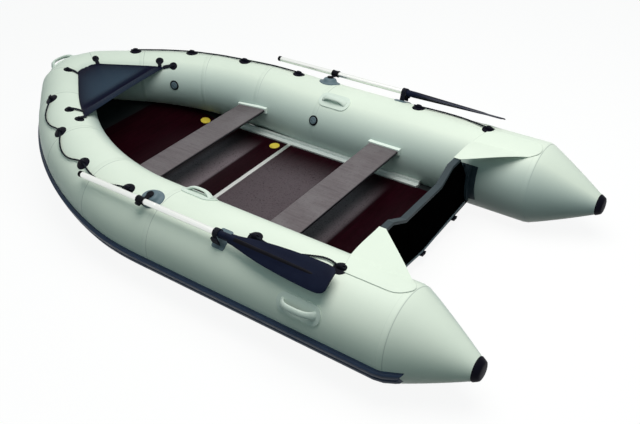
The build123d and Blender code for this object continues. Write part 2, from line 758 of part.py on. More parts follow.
def seat_board(x):
    """Plank with rounded edges and ends cut parallel to the tubes."""
    aft, fore = [half - BRACKET_WALL for half in seat_ends(x)]
    outline = Polyline(
        (-SEAT_WIDTH / 2, aft),
        (SEAT_WIDTH / 2, fore),
        (SEAT_WIDTH / 2, -fore),
        (-SEAT_WIDTH / 2, -aft),
        close=True,
    )
    board = extrude(Pos(x + STERN_SEAM_X, 0, SEAT_TOP_Z - SEAT_THICKNESS) * make_face(outline), SEAT_THICKNESS)
    return fillet(board.edges().filter_by(Axis.Y), SEAT_CORNER)


def seat_brackets(x, board):
    """Two channel brackets glued to the tubes that hold a seat's ends."""
    aft, fore = seat_ends(x)
    skew = degrees(atan2(fore - aft, SEAT_WIDTH))
    height = SEAT_THICKNESS + 2 * BRACKET_WALL
    block = Rot(0, 0, skew) * Box(SEAT_WIDTH + 2 * BRACKET_OVERLAP, BRACKET_DEPTH * 2, height)
    place = Pos(x + STERN_SEAM_X, (aft + fore) / 2, SEAT_TOP_Z - SEAT_THICKNESS / 2)
    port = trimmed(place * block - board, PORT_STERN, PORT_QUARTER)
    return both_sides(port)


def eye_patch(section, angle):
    """Round rubber patch with a moulded eye for the lifeline."""
    plane = surface_plane(section, angle)
    disc = plane * Cylinder(EYE_PATCH_RADIUS, EYE_PATCH_THICKNESS * 4)
    hole = ROPE_DIAMETER / 2 + EYE_CLEARANCE
    arch_plane = Plane(origin=plane.origin, x_dir=plane.y_dir, z_dir=plane.x_dir)
    arch_face = Pos(0, EYE_HEIGHT) * Circle(hole + EYE_WALL)
    arch_face += Pos(0, EYE_HEIGHT / 2) * Rectangle(2 * (hole + EYE_WALL), EYE_HEIGHT)
    arch_face -= Pos(0, EYE_HEIGHT) * Circle(hole)
    arch = extrude(arch_plane * arch_face, EYE_LENGTH / 2, both=True)
    below = plane * Pos(0, 0, EYE_PATCH_THICKNESS * 3) * Cylinder(EYE_PATCH_RADIUS * 2, EYE_PATCH_THICKNESS * 4)
    return (disc - below) + arch


def eye_patches(places):
    """Lifeline patches of one side, from rows of distance and angle."""
    patches = []
    for s, angle in places:
        cutter = PORT_STERN if s < BEND_START - EYE_PATCH_RADIUS else PORT_QUARTER
        both = (PORT_STERN, PORT_QUARTER) if abs(s - BEND_START) < EYE_PATCH_RADIUS * 2 else (cutter,)
        patches.append(trimmed(eye_patch(tube_section(s), angle), *both))
    return Compound(patches)


def rope_points(places):
    """Route of a rope over the port tube from rows of distance, angle and height."""
    return [surface_point(tube_section(s), angle, lift) for s, angle, lift in places]


# rope routes of each side: distance along the tube, angle from its top, height of the rope
FORE_ROPE = {
    "port": [
        (2618, 22.2, 11), (2566, 22.8, 11), (2520, 31, 9), (2465, 38, 8), (2400, 39, 8), (2320, 33, 9),
        (2255, 23.2, 11), (2207, 23, 11), (2150, 32, 9), (2080, 38, 8), (2000, 36, 9),
        (1924, 25.3, 11), (1876, 25, 11), (1825, 29, 9), (1750, 30, 8), (1665, 27, 9),
        (1581, 19.3, 11), (1527, 18.7, 11),
    ],
    "starboard": [
        (2713, 6.7, 11), (2659, 7.3, 11), (2580, 10, 8), (2500, 12, 8), (2420, 11, 8),
        (2356, 8.3, 11), (2304, 8, 11), (2230, 9, 8), (2140, 9, 8), (2060, 7, 8),
        (2001, 4.3, 11), (1949, 4.1, 11), (1870, 8, 8), (1780, 11, 8), (1700, 11.5, 8),
        (1633, 10.3, 11), (1579, 9.8, 11),
    ],
}
AFT_ROPE = {
    "port": [
        (793, 10.8, 11), (739, 11.3, 11), (690, 13.5, 9), (620, 14.5, 8), (550, 12.5, 8), (490, 7, 8),
        (425, 0.8, 9), (380, 0.4, 10), (347, 3.2, 11), (293, 4.6, 11),
    ],
    "starboard": [
        (795, 11, 11), (745, 11.5, 11), (680, 15, 9), (590, 17.5, 8), (490, 15.5, 8), (400, 9, 9),
        (345, 4.5, 11), (292, 4, 11),
    ],
}


def rope(places):
    """Round rope along straight runs joined by the largest tangent arcs."""
    points = rope_points(places)
    radii = []
    for before, here, after in zip(points, points[1:], points[2:]):
        turn = (here - before).get_angle(after - here)
        run = min((here - before).length, (after - here).length)
        radii.append(ROPE_BEND_SHARE * run / tan(radians(turn) / 2))
    path = FilletPolyline(*points, radius=radii)
    start = Plane(origin=path @ 0, z_dir=path % 0)
    return sweep(start * Circle(ROPE_DIAMETER / 2), path=path)


def dodger():
    """Spray cover stretched over the bow, skewed, with a folded hem along its aft edge."""
    aft_half, fore_half = centre_line_y(DODGER_AFT_X), centre_line_y(DODGER_FORE_X)
    skewed_half = centre_line_y(DODGER_AFT_X + DODGER_SKEW)
    aft_z = tube_top(DODGER_AFT_X) - DODGER_AFT_DROP
    slope = (tube_top(DODGER_FORE_X) - DODGER_FORE_DROP - aft_z) / DODGER_LENGTH
    heel = DODGER_HEEL / (2 * aft_half)
    plane = Plane(
        origin=(DODGER_AFT_X + STERN_SEAM_X, 0, aft_z - DODGER_HEEL / 2),
        x_dir=(1, 0, slope),
        z_dir=(-slope, -heel, 1),
    )
    outline = Polyline(
        (0, aft_half),
        (DODGER_LENGTH, fore_half),
        (DODGER_LENGTH, -fore_half),
        (DODGER_SKEW, -skewed_half),
        close=True,
    )
    sheet_face = make_face(outline)
    hem_face = sheet_face - Pos(HEM_WIDTH, 0) * sheet_face
    sheet = extrude(plane * sheet_face, DODGER_THICKNESS) + extrude(plane * hem_face, HEM_THICKNESS)
    return trimmed(sheet, PORT_QUARTER, STARBOARD_QUARTER, NOSE)


def tie_patch(section, angle):
    """Round patch with a knob that a dodger strap ties to."""
    plane = surface_plane(section, angle)
    disc = plane * Cylinder(TIE_PATCH_RADIUS, TIE_PATCH_THICKNESS * 2)
    knob = plane * Pos(0, 0, TIE_KNOB_HEIGHT / 2) * Cone(
        TIE_KNOB_RADIUS, TIE_KNOB_TOP_RADIUS, TIE_KNOB_HEIGHT
    )
    return disc + knob


def tie_patches():
    """All dodger tie patches, port and starboard."""
    patches = []
    for side in SIDES:
        ahead, nose_angle = NOSE_TIES[side]
        for s, angle in TIE_PLACES[side] + [(MITRE_S + ahead, nose_angle)]:
            patch = trimmed(tie_patch(tube_section(s), angle), PORT_QUARTER, NOSE)
            patches.append(on_side(side, patch))
    return Compound(patches)


def handle(plane, length, *cutters):
    """Moulded carry handle: a plate glued to the tube and a bridge-shaped grip."""
    plate_length = length + 2 * HANDLE_PLATE_MARGIN
    plate = RectangleRounded(plate_length, HANDLE_PLATE_WIDTH, HANDLE_PLATE_WIDTH / 3)
    depth = HANDLE_PLATE_WIDTH / 4
    slab = extrude(plane * plate, HANDLE_PLATE_THICKNESS) + extrude(plane * plate, -depth)
    top = HANDLE_PLATE_THICKNESS + HANDLE_GAP + HANDLE_BAR_THICKNESS
    side = Plane(origin=plane.origin, x_dir=plane.x_dir, z_dir=-plane.y_dir)
    window = length - 2 * HANDLE_POST
    bridge_outline = Polyline(
        (-length / 2, 0), (-window / 2, top), (window / 2, top), (length / 2, 0), close=True
    )
    bridge_face = make_face(bridge_outline)
    bridge_face -= Pos(0, HANDLE_PLATE_THICKNESS + HANDLE_GAP / 2) * Rectangle(window, HANDLE_GAP)
    bridge = extrude(side * bridge_face, HANDLE_BAR_WIDTH / 2, both=True)
    return trimmed(slab + bridge, *cutters)


def tow_eye(nose):
    """Tow eye under the nose: a round foot and a bored lug."""
    plane = surface_plane(nose, TOW_ANGLE)
    foot = plane * Cylinder(TOW_PATCH_RADIUS, TOW_PATCH_THICKNESS * 2)
    lug_face = Pos(0, TOW_STEM) * Circle(TOW_HOLE_RADIUS + TOW_WALL)
    lug_face += Pos(0, TOW_STEM / 2) * Rectangle(2 * (TOW_HOLE_RADIUS + TOW_WALL), TOW_STEM)
    lug_face -= Pos(0, TOW_STEM + TOW_WALL / 2) * Circle(TOW_HOLE_RADIUS)
    lug_plane = Plane(origin=plane.origin, x_dir=plane.y_dir, z_dir=plane.x_dir)
    lug = extrude(lug_plane * lug_face, TOW_THICKNESS / 2, both=True)
    return trimmed(foot + lug, NOSE)


def valves():
    """Inflation valves with their round caps."""
    shapes = []
    for s, angle, side in VALVE_PLACES:
        plane = surface_plane(tube_section(s), angle)
        body = plane * Cylinder(VALVE_RADIUS, VALVE_FLANGE * 2)
        body += plane * Pos(0, 0, VALVE_CAP_HEIGHT / 2) * Cylinder(VALVE_CAP_RADIUS, VALVE_CAP_HEIGHT)
        body = trimmed(body, PORT_STERN, PORT_QUARTER)
        shapes.append(body if side > 0 else mirror(body, about=PORT))
    return Compound(shapes)


LOCK_PLANE = surface_plane(tube_section(LOCK_X), LOCK_ANGLE)


def oarlock_base():
    """Oval flange with a domed pillow that carries the oarlock's pin."""
    flange = LOCK_PLANE * Ellipse(LOCK_FLANGE_LENGTH, LOCK_FLANGE_WIDTH)
    base = extrude(flange, LOCK_FLANGE_THICKNESS) + extrude(flange, -LOCK_FLANGE_THICKNESS * 2)
    dome = LOCK_PLANE * Pos(0, 0, LOCK_DOME_HEIGHT / 2) * Cone(
        LOCK_DOME_RADIUS, LOCK_DOME_TOP_RADIUS, LOCK_DOME_HEIGHT
    )
    bore = Cylinder(PIN_RADIUS + PIN_CLEARANCE, PIN_DEPTH)
    seat = LOCK_PLANE * Pos(0, 0, LOCK_DOME_HEIGHT - PIN_DEPTH / 2)
    return trimmed(base + dome - seat * bore, PORT_STERN)


def oar_axis(reach):
    """Frame on the oar's axis at a distance forward of the oarlock, local Z forward."""
    return LOCK_PLANE * Pos(reach, SHAFT_OFFSET, SHAFT_HEIGHT) * Rot(0, 90, 0)


def oarlock_swivel():
    """Swivel with its pin, side arm and the clamp round the oar's shaft."""
    low = LOCK_DOME_HEIGHT + SWIVEL_GAP
    pin_top = low + SWIVEL_THICKNESS / 2
    pin_low = LOCK_DOME_HEIGHT - PIN_DEPTH + SWIVEL_GAP * 2
    pin = LOCK_PLANE * Pos(0, 0, (pin_top + pin_low) / 2) * Cylinder(PIN_RADIUS, pin_top - pin_low)
    head = LOCK_PLANE * Pos(0, 0, low + SWIVEL_THICKNESS / 2) * Cylinder(SWIVEL_RADIUS, SWIVEL_THICKNESS)
    arm = LOCK_PLANE * Pos(0, SHAFT_OFFSET / 2, low + SWIVEL_THICKNESS / 2) * Box(
        SWIVEL_ARM_WIDTH, SHAFT_OFFSET, SWIVEL_THICKNESS
    )
    along = oar_axis(0.0)
    clamp = along * Cylinder(SHAFT_RADIUS + CLAMP_WALL, CLAMP_LENGTH)
    body = pin + head + arm + clamp
    return body - along * Cylinder(SHAFT_RADIUS + PIN_CLEARANCE, CLAMP_LENGTH * 2)


def oar_shaft():
    """Round oar shaft from the handle end into the blade's neck."""
    fore = OAR_HANDLE_REACH - GRIP_LENGTH
    aft = -OAR_NECK_REACH - SHAFT_IN_NECK
    return oar_axis((fore + aft) / 2) * Cylinder(SHAFT_RADIUS, fore - aft)


def oar_grip():
    """Rounded plug on the handle end of the shaft."""
    plug = oar_axis(OAR_HANDLE_REACH - GRIP_LENGTH / 2) * Cylinder(GRIP_RADIUS, GRIP_LENGTH)
    return fillet(plug.edges().sort_by(Axis.X)[-1], SHAFT_RADIUS / 2)


def oar_blade():
    """Flat blade with a socket neck and a tapering middle rib."""
    neck = -OAR_NECK_REACH
    root = -BLADE_ROOT_REACH
    shoulder = root - BLADE_SHOULDER
    tip = -OAR_TIP_REACH
    outline = Polyline(
        (root, BLADE_NECK_HALF),
        (shoulder, BLADE_SHOULDER_HALF),
        (tip + BLADE_CORNER * 3, BLADE_HALF_WIDTH),
        (tip, BLADE_TIP_HALF),
        (tip, -BLADE_TIP_HALF),
        (tip + BLADE_CORNER * 3, -BLADE_HALF_WIDTH),
        (shoulder, -BLADE_SHOULDER_HALF),
        (root, -BLADE_NECK_HALF),
        close=True,
    )
    plane = LOCK_PLANE * Pos(0, SHAFT_OFFSET, SHAFT_HEIGHT) * Rot(-BLADE_ROLL, 0, 0)
    sheet = extrude(make_face(outline), BLADE_THICKNESS / 2, both=True)
    corners = sheet.edges().filter_by(Axis.Z).sort_by(Axis.X)[:2]
    sheet = fillet(corners, BLADE_CORNER)
    socket = SHAFT_RADIUS + NECK_WALL
    rib_end = tip + BLADE_CORNER * 4
    sleeve = Pos(neck - SHAFT_IN_NECK / 2, 0, 0) * Rot(0, 90, 0) * Cylinder(socket, SHAFT_IN_NECK)
    rib_length = neck - SHAFT_IN_NECK - rib_end
    rib = Pos(rib_end + rib_length / 2, 0, 0) * Rot(0, 90, 0) * Cone(RIB_END_RADIUS, socket, rib_length)
    bore = Pos(neck, 0, 0) * Rot(0, 90, 0) * Cylinder(SHAFT_RADIUS + PIN_CLEARANCE, SHAFT_IN_NECK * 2)
    return plane * (sheet + sleeve + rib - bore)


def keeper_pad():
    """Rectangular patch under the oar's neck that the keeper strap is sewn to."""
    inner = TUBE_RADIUS + GLUE_GAP
    face = ring_sector(inner, inner + KEEPER_THICKNESS, KEEPER_LOW_ANGLE, KEEPER_HIGH_ANGLE)
    return extrude(section_plane(tube_section(KEEPER_X)) * face, KEEPER_LENGTH / 2, both=True)


def keeper_strap():
    """Webbing strap that goes up from the patch and over the oar's neck."""
    inner = SHAFT_RADIUS + NECK_WALL + STRAP_CLEARANCE
    outer = inner + STRAP_THICKNESS
    frame = oar_axis(KEEPER_X - LOCK_X)
    foot = SHAFT_HEIGHT + TUBE_RADIUS / 4
    legs = Pos(foot / 2, 0) * Rectangle(foot, outer * 2) + Circle(outer)
    legs -= Pos(foot / 2, 0) * Rectangle(foot, inner * 2) + Circle(inner)
    band = extrude(frame * legs, STRAP_WIDTH / 2, both=True)
    inner_skin = TUBE_RADIUS + 2 * GLUE_GAP + KEEPER_THICKNESS
    plane = section_plane(tube_section(KEEPER_X))
    return largest(band - extrude(plane * Circle(inner_skin), KEEPER_LENGTH, both=True))


def build():
    """Make and write every node of the boat."""
    save_pair("tube", stern_tube())
    save_pair("bow_quarter", bow_quarter())
    save("bow_nose", nose_tube())
    save("cone_caps", both_sides(cone_cap()))
    save_pair("strake", strake())
    save("bottom_skin", bottom_skin())
    save("bottom_rails", bottom_rails())
    save("transom_board", transom_board())
    save("transom_edging", transom_edging())
    save("motor_pad_aft", motor_pad(-1, AFT_PAD_HEIGHT))
    save("motor_pad_fore", motor_pad(1, FORE_PAD_HEIGHT))
    save("transom_holders", both_sides(transom_holder()))
    save_pair("gusset", gusset())
    for name, board in floorboards().items():
        save(name, board)
    save("floor_joiners", floor_joiners())
    save_pair("stringer", stringer())
    save("floor_plugs", floor_plugs())
    for name, x in SEAT_PLACES.items():
        board = seat_board(x)
        save(name, board)
        save(f"{name}_brackets", seat_brackets(x, board))
    for side in SIDES:
        save(f"lifeline_eyes_{side}", on_side(side, eye_patches(EYE_PLACES[side])))
        save(f"lifeline_fore_{side}", on_side(side, rope(FORE_ROPE[side])))
        save(f"lifeline_aft_{side}", on_side(side, rope(AFT_ROPE[side])))
    save("bow_dodger", dodger())
    save("dodger_ties", tie_patches())
    for name, (s, angle, length) in HANDLE_PLACES.items():
        save_pair(name, handle(surface_plane(tube_section(s), angle), length, PORT_STERN))
    nose = nose_sections()[2]
    save("handle_bow", handle(surface_plane(nose, HANDLE_NOSE_ANGLE), HANDLE_NOSE_LENGTH, NOSE))
    save("tow_eye", tow_eye(nose))
    save("valves", valves())
    save_pair("oarlock_base", oarlock_base())
    save_pair("oarlock_swivel", oarlock_swivel())
    save_pair("oar_shaft", oar_shaft())
    save_pair("oar_grip", oar_grip())
    save_pair("oar_blade", oar_blade())
    save("keeper_pads", both_sides(keeper_pad()))
    save_pair("keeper_strap", keeper_strap())


build()
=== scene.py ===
"""Looks of the inflatable boat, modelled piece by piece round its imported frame."""

import logging
from dataclasses import dataclass, field
from enum import Enum
from functools import cache
from math import atan2, ceil, cos, degrees, hypot, pi, radians, sin, sqrt
from typing import Iterable, Sequence

import bmesh
import bpy
from mathutils import Matrix, Vector


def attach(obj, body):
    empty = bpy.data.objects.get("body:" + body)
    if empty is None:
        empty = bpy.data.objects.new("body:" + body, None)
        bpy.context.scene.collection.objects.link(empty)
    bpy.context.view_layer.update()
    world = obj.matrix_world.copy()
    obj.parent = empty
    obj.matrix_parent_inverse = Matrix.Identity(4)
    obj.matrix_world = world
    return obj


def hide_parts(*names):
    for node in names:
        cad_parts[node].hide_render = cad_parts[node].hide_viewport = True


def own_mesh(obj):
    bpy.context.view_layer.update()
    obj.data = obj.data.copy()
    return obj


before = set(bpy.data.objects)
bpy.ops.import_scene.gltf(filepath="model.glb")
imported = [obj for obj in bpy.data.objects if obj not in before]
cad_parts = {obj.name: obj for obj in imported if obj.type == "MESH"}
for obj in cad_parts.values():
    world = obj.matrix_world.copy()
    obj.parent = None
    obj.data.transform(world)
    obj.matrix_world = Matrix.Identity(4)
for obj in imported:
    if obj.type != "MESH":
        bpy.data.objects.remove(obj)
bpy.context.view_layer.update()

LOG = logging.getLogger("boat")

Color = tuple[float, float, float]
Point = tuple[float, float, float]
Pairs = tuple[tuple[float, float], ...]
Ring = list[Vector]
Obj = bpy.types.Object
Node = bpy.types.Node
Tree = bpy.types.NodeTree
Socket = bpy.types.NodeSocket

SOFT_EDGE = 38.0
UP = Vector((0, 0, 1))


class Body(Enum):
    """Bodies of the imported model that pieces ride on."""

    HULL = "hull"
    OAR_PORT = "oar_port"
    OAR_STARBOARD = "oar_starboard"


class Side(Enum):
    """Sides of the boat, by the sign of Y."""

    PORT = 1
    STARBOARD = -1

    @property
    def label(self) -> str:
        """Ending of the names of this side's pieces."""
        return self.name.lower()


class Ends(Enum):
    """How the two ends of a lofted shell are closed."""

    OPEN = "open"
    FILLED = "filled"
    POLED = "poled"


# Lines of the hull


@dataclass(frozen=True)
class Section:
    """One upright cross-section of the port tube."""

    centre: Vector
    heading: float
    radius: float

    def outboard(self) -> Vector:
        """Horizontal direction away from the cockpit."""
        return Vector((sin(self.heading), cos(self.heading), 0.0))

    def along(self) -> Vector:
        """Horizontal direction forward along the tube."""
        return Vector((cos(self.heading), -sin(self.heading), 0.0))


@dataclass(frozen=True)
class HullLines:
    """Centre line and girth of the buoyancy tube, in metres from the stern cone's seam."""

    stern_x: float = -1.329095
    tube_radius: float = 0.220
    bow_radius: float = 0.150
    half_spacing: float = 0.680
    bend_start: float = 1.552
    bend_radius: float = 1.588
    facet_turn: float = radians(39.8)
    corner_x: float = 2.828989
    corner_y: float = 0.095
    corner_cut: float = 0.060
    bow_rise: float = 0.248
    cone_length: float = 0.320
    cone_end: float = 0.052
    cone_drop: float = 0.021
    ease: float = 0.14
    cone_ease: float = 0.022
    mitre_ease: float = 0.13

    @property
    def facet_start(self) -> float:
        """Distance along the tube where the bend ends and the straight facet starts."""
        return self.bend_start + self.bend_radius * self.facet_turn

    @property
    def mitre(self) -> float:
        """Distance along the tube to the first mitre of the nose."""
        facet_x = self.bend_start + self.bend_radius * sin(self.facet_turn)
        return self.facet_start + (self.corner_x - facet_x) / cos(self.facet_turn) - self.corner_cut

    @property
    def front_mitre(self) -> float:
        """Distance along the tube to the second mitre of the nose."""
        half_turn = (pi / 2 - self.facet_turn) / 2
        return self.mitre + 2 * self.corner_cut * cos(half_turn)

    @property
    def middle(self) -> float:
        """Distance along the tube to the middle of the nose."""
        return self.front_mitre + self.corner_y - self.corner_cut

    def eased(self, run: float, width: float) -> float:
        """A ramp that starts at nought and bends softly over a width each side of its start."""
        if run <= -width:
            return 0.0
        return (run + width) ** 2 / (4 * width) if run < width else run

    def plan(self, s: float) -> Point:
        """Plan position of the centre line.

        Args:
            s: distance along the tube from the stern seam.

        Returns:
            Distance forward of the stern seam, offset to port and heading in radians.
        """
        if s > self.middle:
            x, y, heading = self.plan(2 * self.middle - s)
            return x, -y, pi - heading
        if s <= self.bend_start:
            return s, self.half_spacing, 0.0
        turn = min((s - self.bend_start) / self.bend_radius, self.facet_turn)
        x = self.bend_start + self.bend_radius * sin(turn)
        y = self.half_spacing - self.bend_radius * (1 - cos(turn))
        if s <= self.facet_start:
            return x, y, turn
        quarter = (pi / 2 - self.facet_turn) / 4
        if s <= self.mitre:
            run = s - self.facet_start
            lean = max(0.0, 1 - (self.mitre - s) / self.mitre_ease)
            return x + run * cos(turn), y - run * sin(turn), turn + quarter * lean
        front_y = self.corner_y - self.corner_cut
        if s <= self.front_mitre:
            share = (s - self.mitre) / (self.front_mitre - self.mitre)
            start_x = self.corner_x - self.corner_cut * cos(turn)
            start_y = self.corner_y + self.corner_cut * sin(turn)
            x = start_x + (self.corner_x - start_x) * share
            y = start_y + (front_y - start_y) * share
            return x, y, turn + quarter + 2 * quarter * share
        share = (s - self.front_mitre) / (self.middle - self.front_mitre)
        return self.corner_x, front_y * (1 - share), pi / 2 - quarter * (1 - share)

    def section(self, s: float) -> Section:
        """Section of the port tube at a distance along it."""
        x, y, heading = self.plan(s)
        length = self.corner_x - self.bend_start
        share = min(self.eased(x - self.bend_start, self.ease) / length, 1.0)
        radius = self.tube_radius + (self.bow_radius - self.tube_radius) * share
        height = radius + self.bow_rise * share
        cone = min(self.eased(-x, self.cone_ease) / self.cone_length, 1.0)
        radius -= (self.tube_radius - self.cone_end) * cone
        height -= self.cone_drop * cone
        return Section(Vector((x + self.stern_x, y, height)), heading, radius)

    def skin(self, s: float, angle: float, lift: float = 0.0) -> Vector:
        """Point on or over the port tube's skin.

        Args:
            s: distance along the tube from the stern seam.
            angle: degrees from the tube's top, outboard positive.
            lift: height over the skin.

        Returns:
            The point in the part's frame.
        """
        section = self.section(s)
        turn = radians(angle)
        normal = section.outboard() * sin(turn) + Vector((0, 0, cos(turn)))
        return section.centre + normal * (section.radius + lift)

    def place(self, s: float, angle: float, lift: float = 0.0) -> Matrix:
        """Frame on the skin: X forward along the tube, Y outboard round it, Z outwards."""
        section = self.section(s)
        turn = radians(angle)
        along = section.along()
        normal = section.outboard() * sin(turn) + Vector((0, 0, cos(turn)))
        side = normal.cross(along)
        matrix = Matrix((along, side, normal)).transposed().to_4x4()
        matrix.translation = self.skin(s, angle, lift)
        return matrix


LINES = HullLines()


# Modelling steps


class Bench:
    """Modelling steps done with Blender's operators, shared by all sub-assemblies."""

    @staticmethod
    def clear() -> None:
        """Leave edit mode and deselect everything."""
        if bpy.context.object and bpy.context.object.mode != "OBJECT":
            bpy.ops.object.mode_set(mode="OBJECT")
        bpy.ops.object.select_all(action="DESELECT")

    @classmethod
    def pick(cls, *objects: Obj) -> None:
        """Select only these objects, the first of them active."""
        cls.clear()
        for obj in objects:
            obj.select_set(True)
        bpy.context.view_layer.objects.active = objects[0]

    @staticmethod
    def named(obj: Obj, name: str) -> Obj:
        """Give an object and its mesh the same name."""
        obj.name = obj.data.name = name
        return obj

    @staticmethod
    def mark(obj: Obj, name: str, values: Sequence[float]) -> None:
        """Give each vertex a value of a new attribute that a finish reads."""
        layer = obj.data.attributes.new(name, "FLOAT", "POINT")
        layer.data.foreach_set("value", values)

    @classmethod
    def edit(cls, obj: Obj, action: str = "SELECT") -> None:
        """Enter edit mode on one object with all or none of it selected."""
        cls.pick(obj)
        bpy.ops.object.mode_set(mode="EDIT")
        bpy.ops.mesh.select_all(action=action)

    @classmethod
    def loft(cls, name: str, rings: Sequence[Ring], ends: Ends = Ends.OPEN) -> Obj:
        """Extrude a ring through a row of places.

        Args:
            name: name of the new object.
            rings: rows of points, each with as many points as the first.
            ends: how the first and last ring are closed.

        Returns:
            The lofted shell.
        """
        cls.clear()
        count = len(rings[0])
        bpy.ops.mesh.primitive_circle_add(vertices=count, radius=1.0, location=(0, 0, 0))
        obj = cls.named(bpy.context.object, name)
        order = obj.data.attributes.new("ring_order", "INT", "POINT")
        order.data.foreach_set("value", list(range(count)))
        for vertex, point in zip(obj.data.vertices, rings[0]):
            vertex.co = point
        bpy.ops.object.mode_set(mode="EDIT")
        bpy.ops.mesh.select_all(action="SELECT")
        for ring in rings[1:]:
            bpy.ops.mesh.extrude_edges_move()
            shell = bmesh.from_edit_mesh(obj.data)
            layer = shell.verts.layers.int["ring_order"]
            for vertex in shell.verts:
                if vertex.select:
                    vertex.co = ring[vertex[layer]]
            bmesh.update_edit_mesh(obj.data)
        cls.close_ends(ends)
        bpy.ops.mesh.select_all(action="SELECT")
        bpy.ops.mesh.normals_make_consistent(inside=False)
        cls.clear()
        obj.data.attributes.remove(obj.data.attributes["ring_order"])
        return obj

    @staticmethod
    def close_ends(ends: Ends) -> None:
        """Close the selected last ring of a loft and then its first."""
        if ends is Ends.OPEN:
            return
        for _ in range(2):
            if ends is Ends.FILLED:
                bpy.ops.mesh.edge_face_add()
            else:
                bpy.ops.mesh.merge(type="CENTER")
            bpy.ops.mesh.select_all(action="DESELECT")
            bpy.ops.mesh.select_non_manifold()

    @classmethod
    def turned(cls, name: str, profile: Pairs, steps: int) -> Obj:
        """Piece turned about its own Z axis.

        Args:
            name: name of the new object.
            profile: rows of radius and height; both ends close at a pole.
            steps: sides of the turned shape.

        Returns:
            The turned shell.
        """
        rings = [
            [Vector((r * cos(2 * pi * i / steps), r * sin(2 * pi * i / steps), z)) for i in range(steps)]
            for r, z in profile
        ]
        return cls.loft(name, rings, Ends.POLED)

    @classmethod
    def plate(
        cls, name: str, outline: Sequence[tuple[float, float]], low: float, high: float, bevel: float
    ) -> Obj:
        """Flat plate with a rounded upper edge.

        Args:
            name: name of the new object.
            outline: corner points in the plate's own plane.
            low: height of the underside.
            high: height of the top.
            bevel: width of the rounded edge.

        Returns:
            The plate.
        """
        rings = [[Vector((x, y, z)) for x, y in outline] for z in (low, high)]
        obj = cls.loft(name, rings, Ends.FILLED)
        cls.edit(obj, "DESELECT")
        shell = bmesh.from_edit_mesh(obj.data)
        for edge in shell.edges:
            edge.select_set(all(abs(v.co.z - high) < 1e-6 for v in edge.verts))
        shell.select_flush_mode()
        bmesh.update_edit_mesh(obj.data)
        bpy.ops.mesh.bevel(offset=bevel, segments=3, profile=0.6, affect="EDGES")
        cls.clear()
        return obj

    @classmethod
    def grid(cls, name: str, columns: int, rows: int) -> Obj:
        """Square grid from -1 to 1, to be pulled into a sheet of cloth."""
        cls.clear()
        bpy.ops.mesh.primitive_grid_add(x_subdivisions=columns, y_subdivisions=rows, size=2.0)
        return cls.named(bpy.context.object, name)

    @classmethod
    def grid_fill(cls, obj: Obj, cuts: int) -> None:
        """Divide the large flat faces of a plate so that it can be wrapped."""
        cls.edit(obj, "DESELECT")
        shell = bmesh.from_edit_mesh(obj.data)
        for face in shell.faces:
            face.select_set(len(face.verts) > 4)
        bmesh.update_edit_mesh(obj.data)
        bpy.ops.mesh.poke()
        bpy.ops.mesh.subdivide(number_cuts=cuts)
        cls.clear()

    @classmethod
    def modify(cls, obj: Obj, kind: str, **settings: object) -> None:
        """Add a modifier and apply it at once."""
        cls.pick(obj)
        modifier = obj.modifiers.new(kind.title(), kind)
        for key, value in settings.items():
            setattr(modifier, key, value)
        bpy.ops.object.modifier_apply(modifier=modifier.name)

    @classmethod
    def join(cls, name: str, *objects: Obj) -> Obj:
        """Join shells into one object of that name."""
        cls.pick(*objects)
        if len(objects) > 1:
            bpy.ops.object.join()
        cls.clear()
        return cls.named(objects[0], name)

    @classmethod
    def copy(cls, obj: Obj, name: str) -> Obj:
        """Copy an object with a mesh of its own."""
        cls.pick(obj)
        bpy.ops.object.duplicate()
        twin = cls.named(bpy.context.object, name)
        cls.clear()
        return twin

    @classmethod
    def mirrored(cls, obj: Obj, name: str) -> Obj:
        """Copy an object to the other side of the boat, its faces still outwards."""
        twin = cls.copy(obj, name)
        cls.reflect(twin)
        return twin

    @classmethod
    def reflect(cls, obj: Obj) -> None:
        """Reflect a mesh across the boat's middle, its faces still outwards."""
        obj.data.transform(Matrix.Scale(-1, 4, (0, 1, 0)))
        cls.edit(obj)
        bpy.ops.mesh.flip_normals()
        cls.clear()

    @classmethod
    def on_side(cls, obj: Obj, side: Side) -> Obj:
        """Move a piece modelled to port to the side that it belongs to, and name it after that."""
        if side is Side.STARBOARD:
            cls.reflect(obj)
        return cls.named(obj, f"{obj.name}_{side.label}")

    @staticmethod
    def shift(obj: Obj, matrix: Matrix) -> Obj:
        """Put a mesh in its place, with the object left at the origin."""
        obj.data.transform(matrix)
        return obj

    @staticmethod
    def wrap(obj: Obj, s: float, angle: float) -> Obj:
        """Lay a mesh on the port tube's skin: X along it, Y round it, Z over it."""
        for vertex in obj.data.vertices:
            here = LINES.section(s + vertex.co.x)
            turn = angle + degrees(vertex.co.y / here.radius)
            vertex.co = LINES.skin(s + vertex.co.x, turn, vertex.co.z)
        return obj

    @classmethod
    def smooth(cls, obj: Obj, angle: float) -> None:
        """Shade smoothly across edges flatter than an angle in degrees."""
        cls.pick(obj)
        bpy.ops.object.shade_smooth_by_angle(angle=radians(angle))
        cls.clear()


def circle(centre: Vector, across: Vector, up: Vector, radius: float, steps: int) -> Ring:
    """Ring of points round a centre in the plane of two directions."""
    turns = [2 * pi * i / steps for i in range(steps)]
    return [centre + (across * cos(t) + up * sin(t)) * radius for t in turns]


def ellipse(centre: Vector, across: Vector, up: Vector, steps: int) -> Ring:
    """Ring of points round a centre; the directions' lengths are its half-axes."""
    return circle(centre, across, up, 1.0, steps)


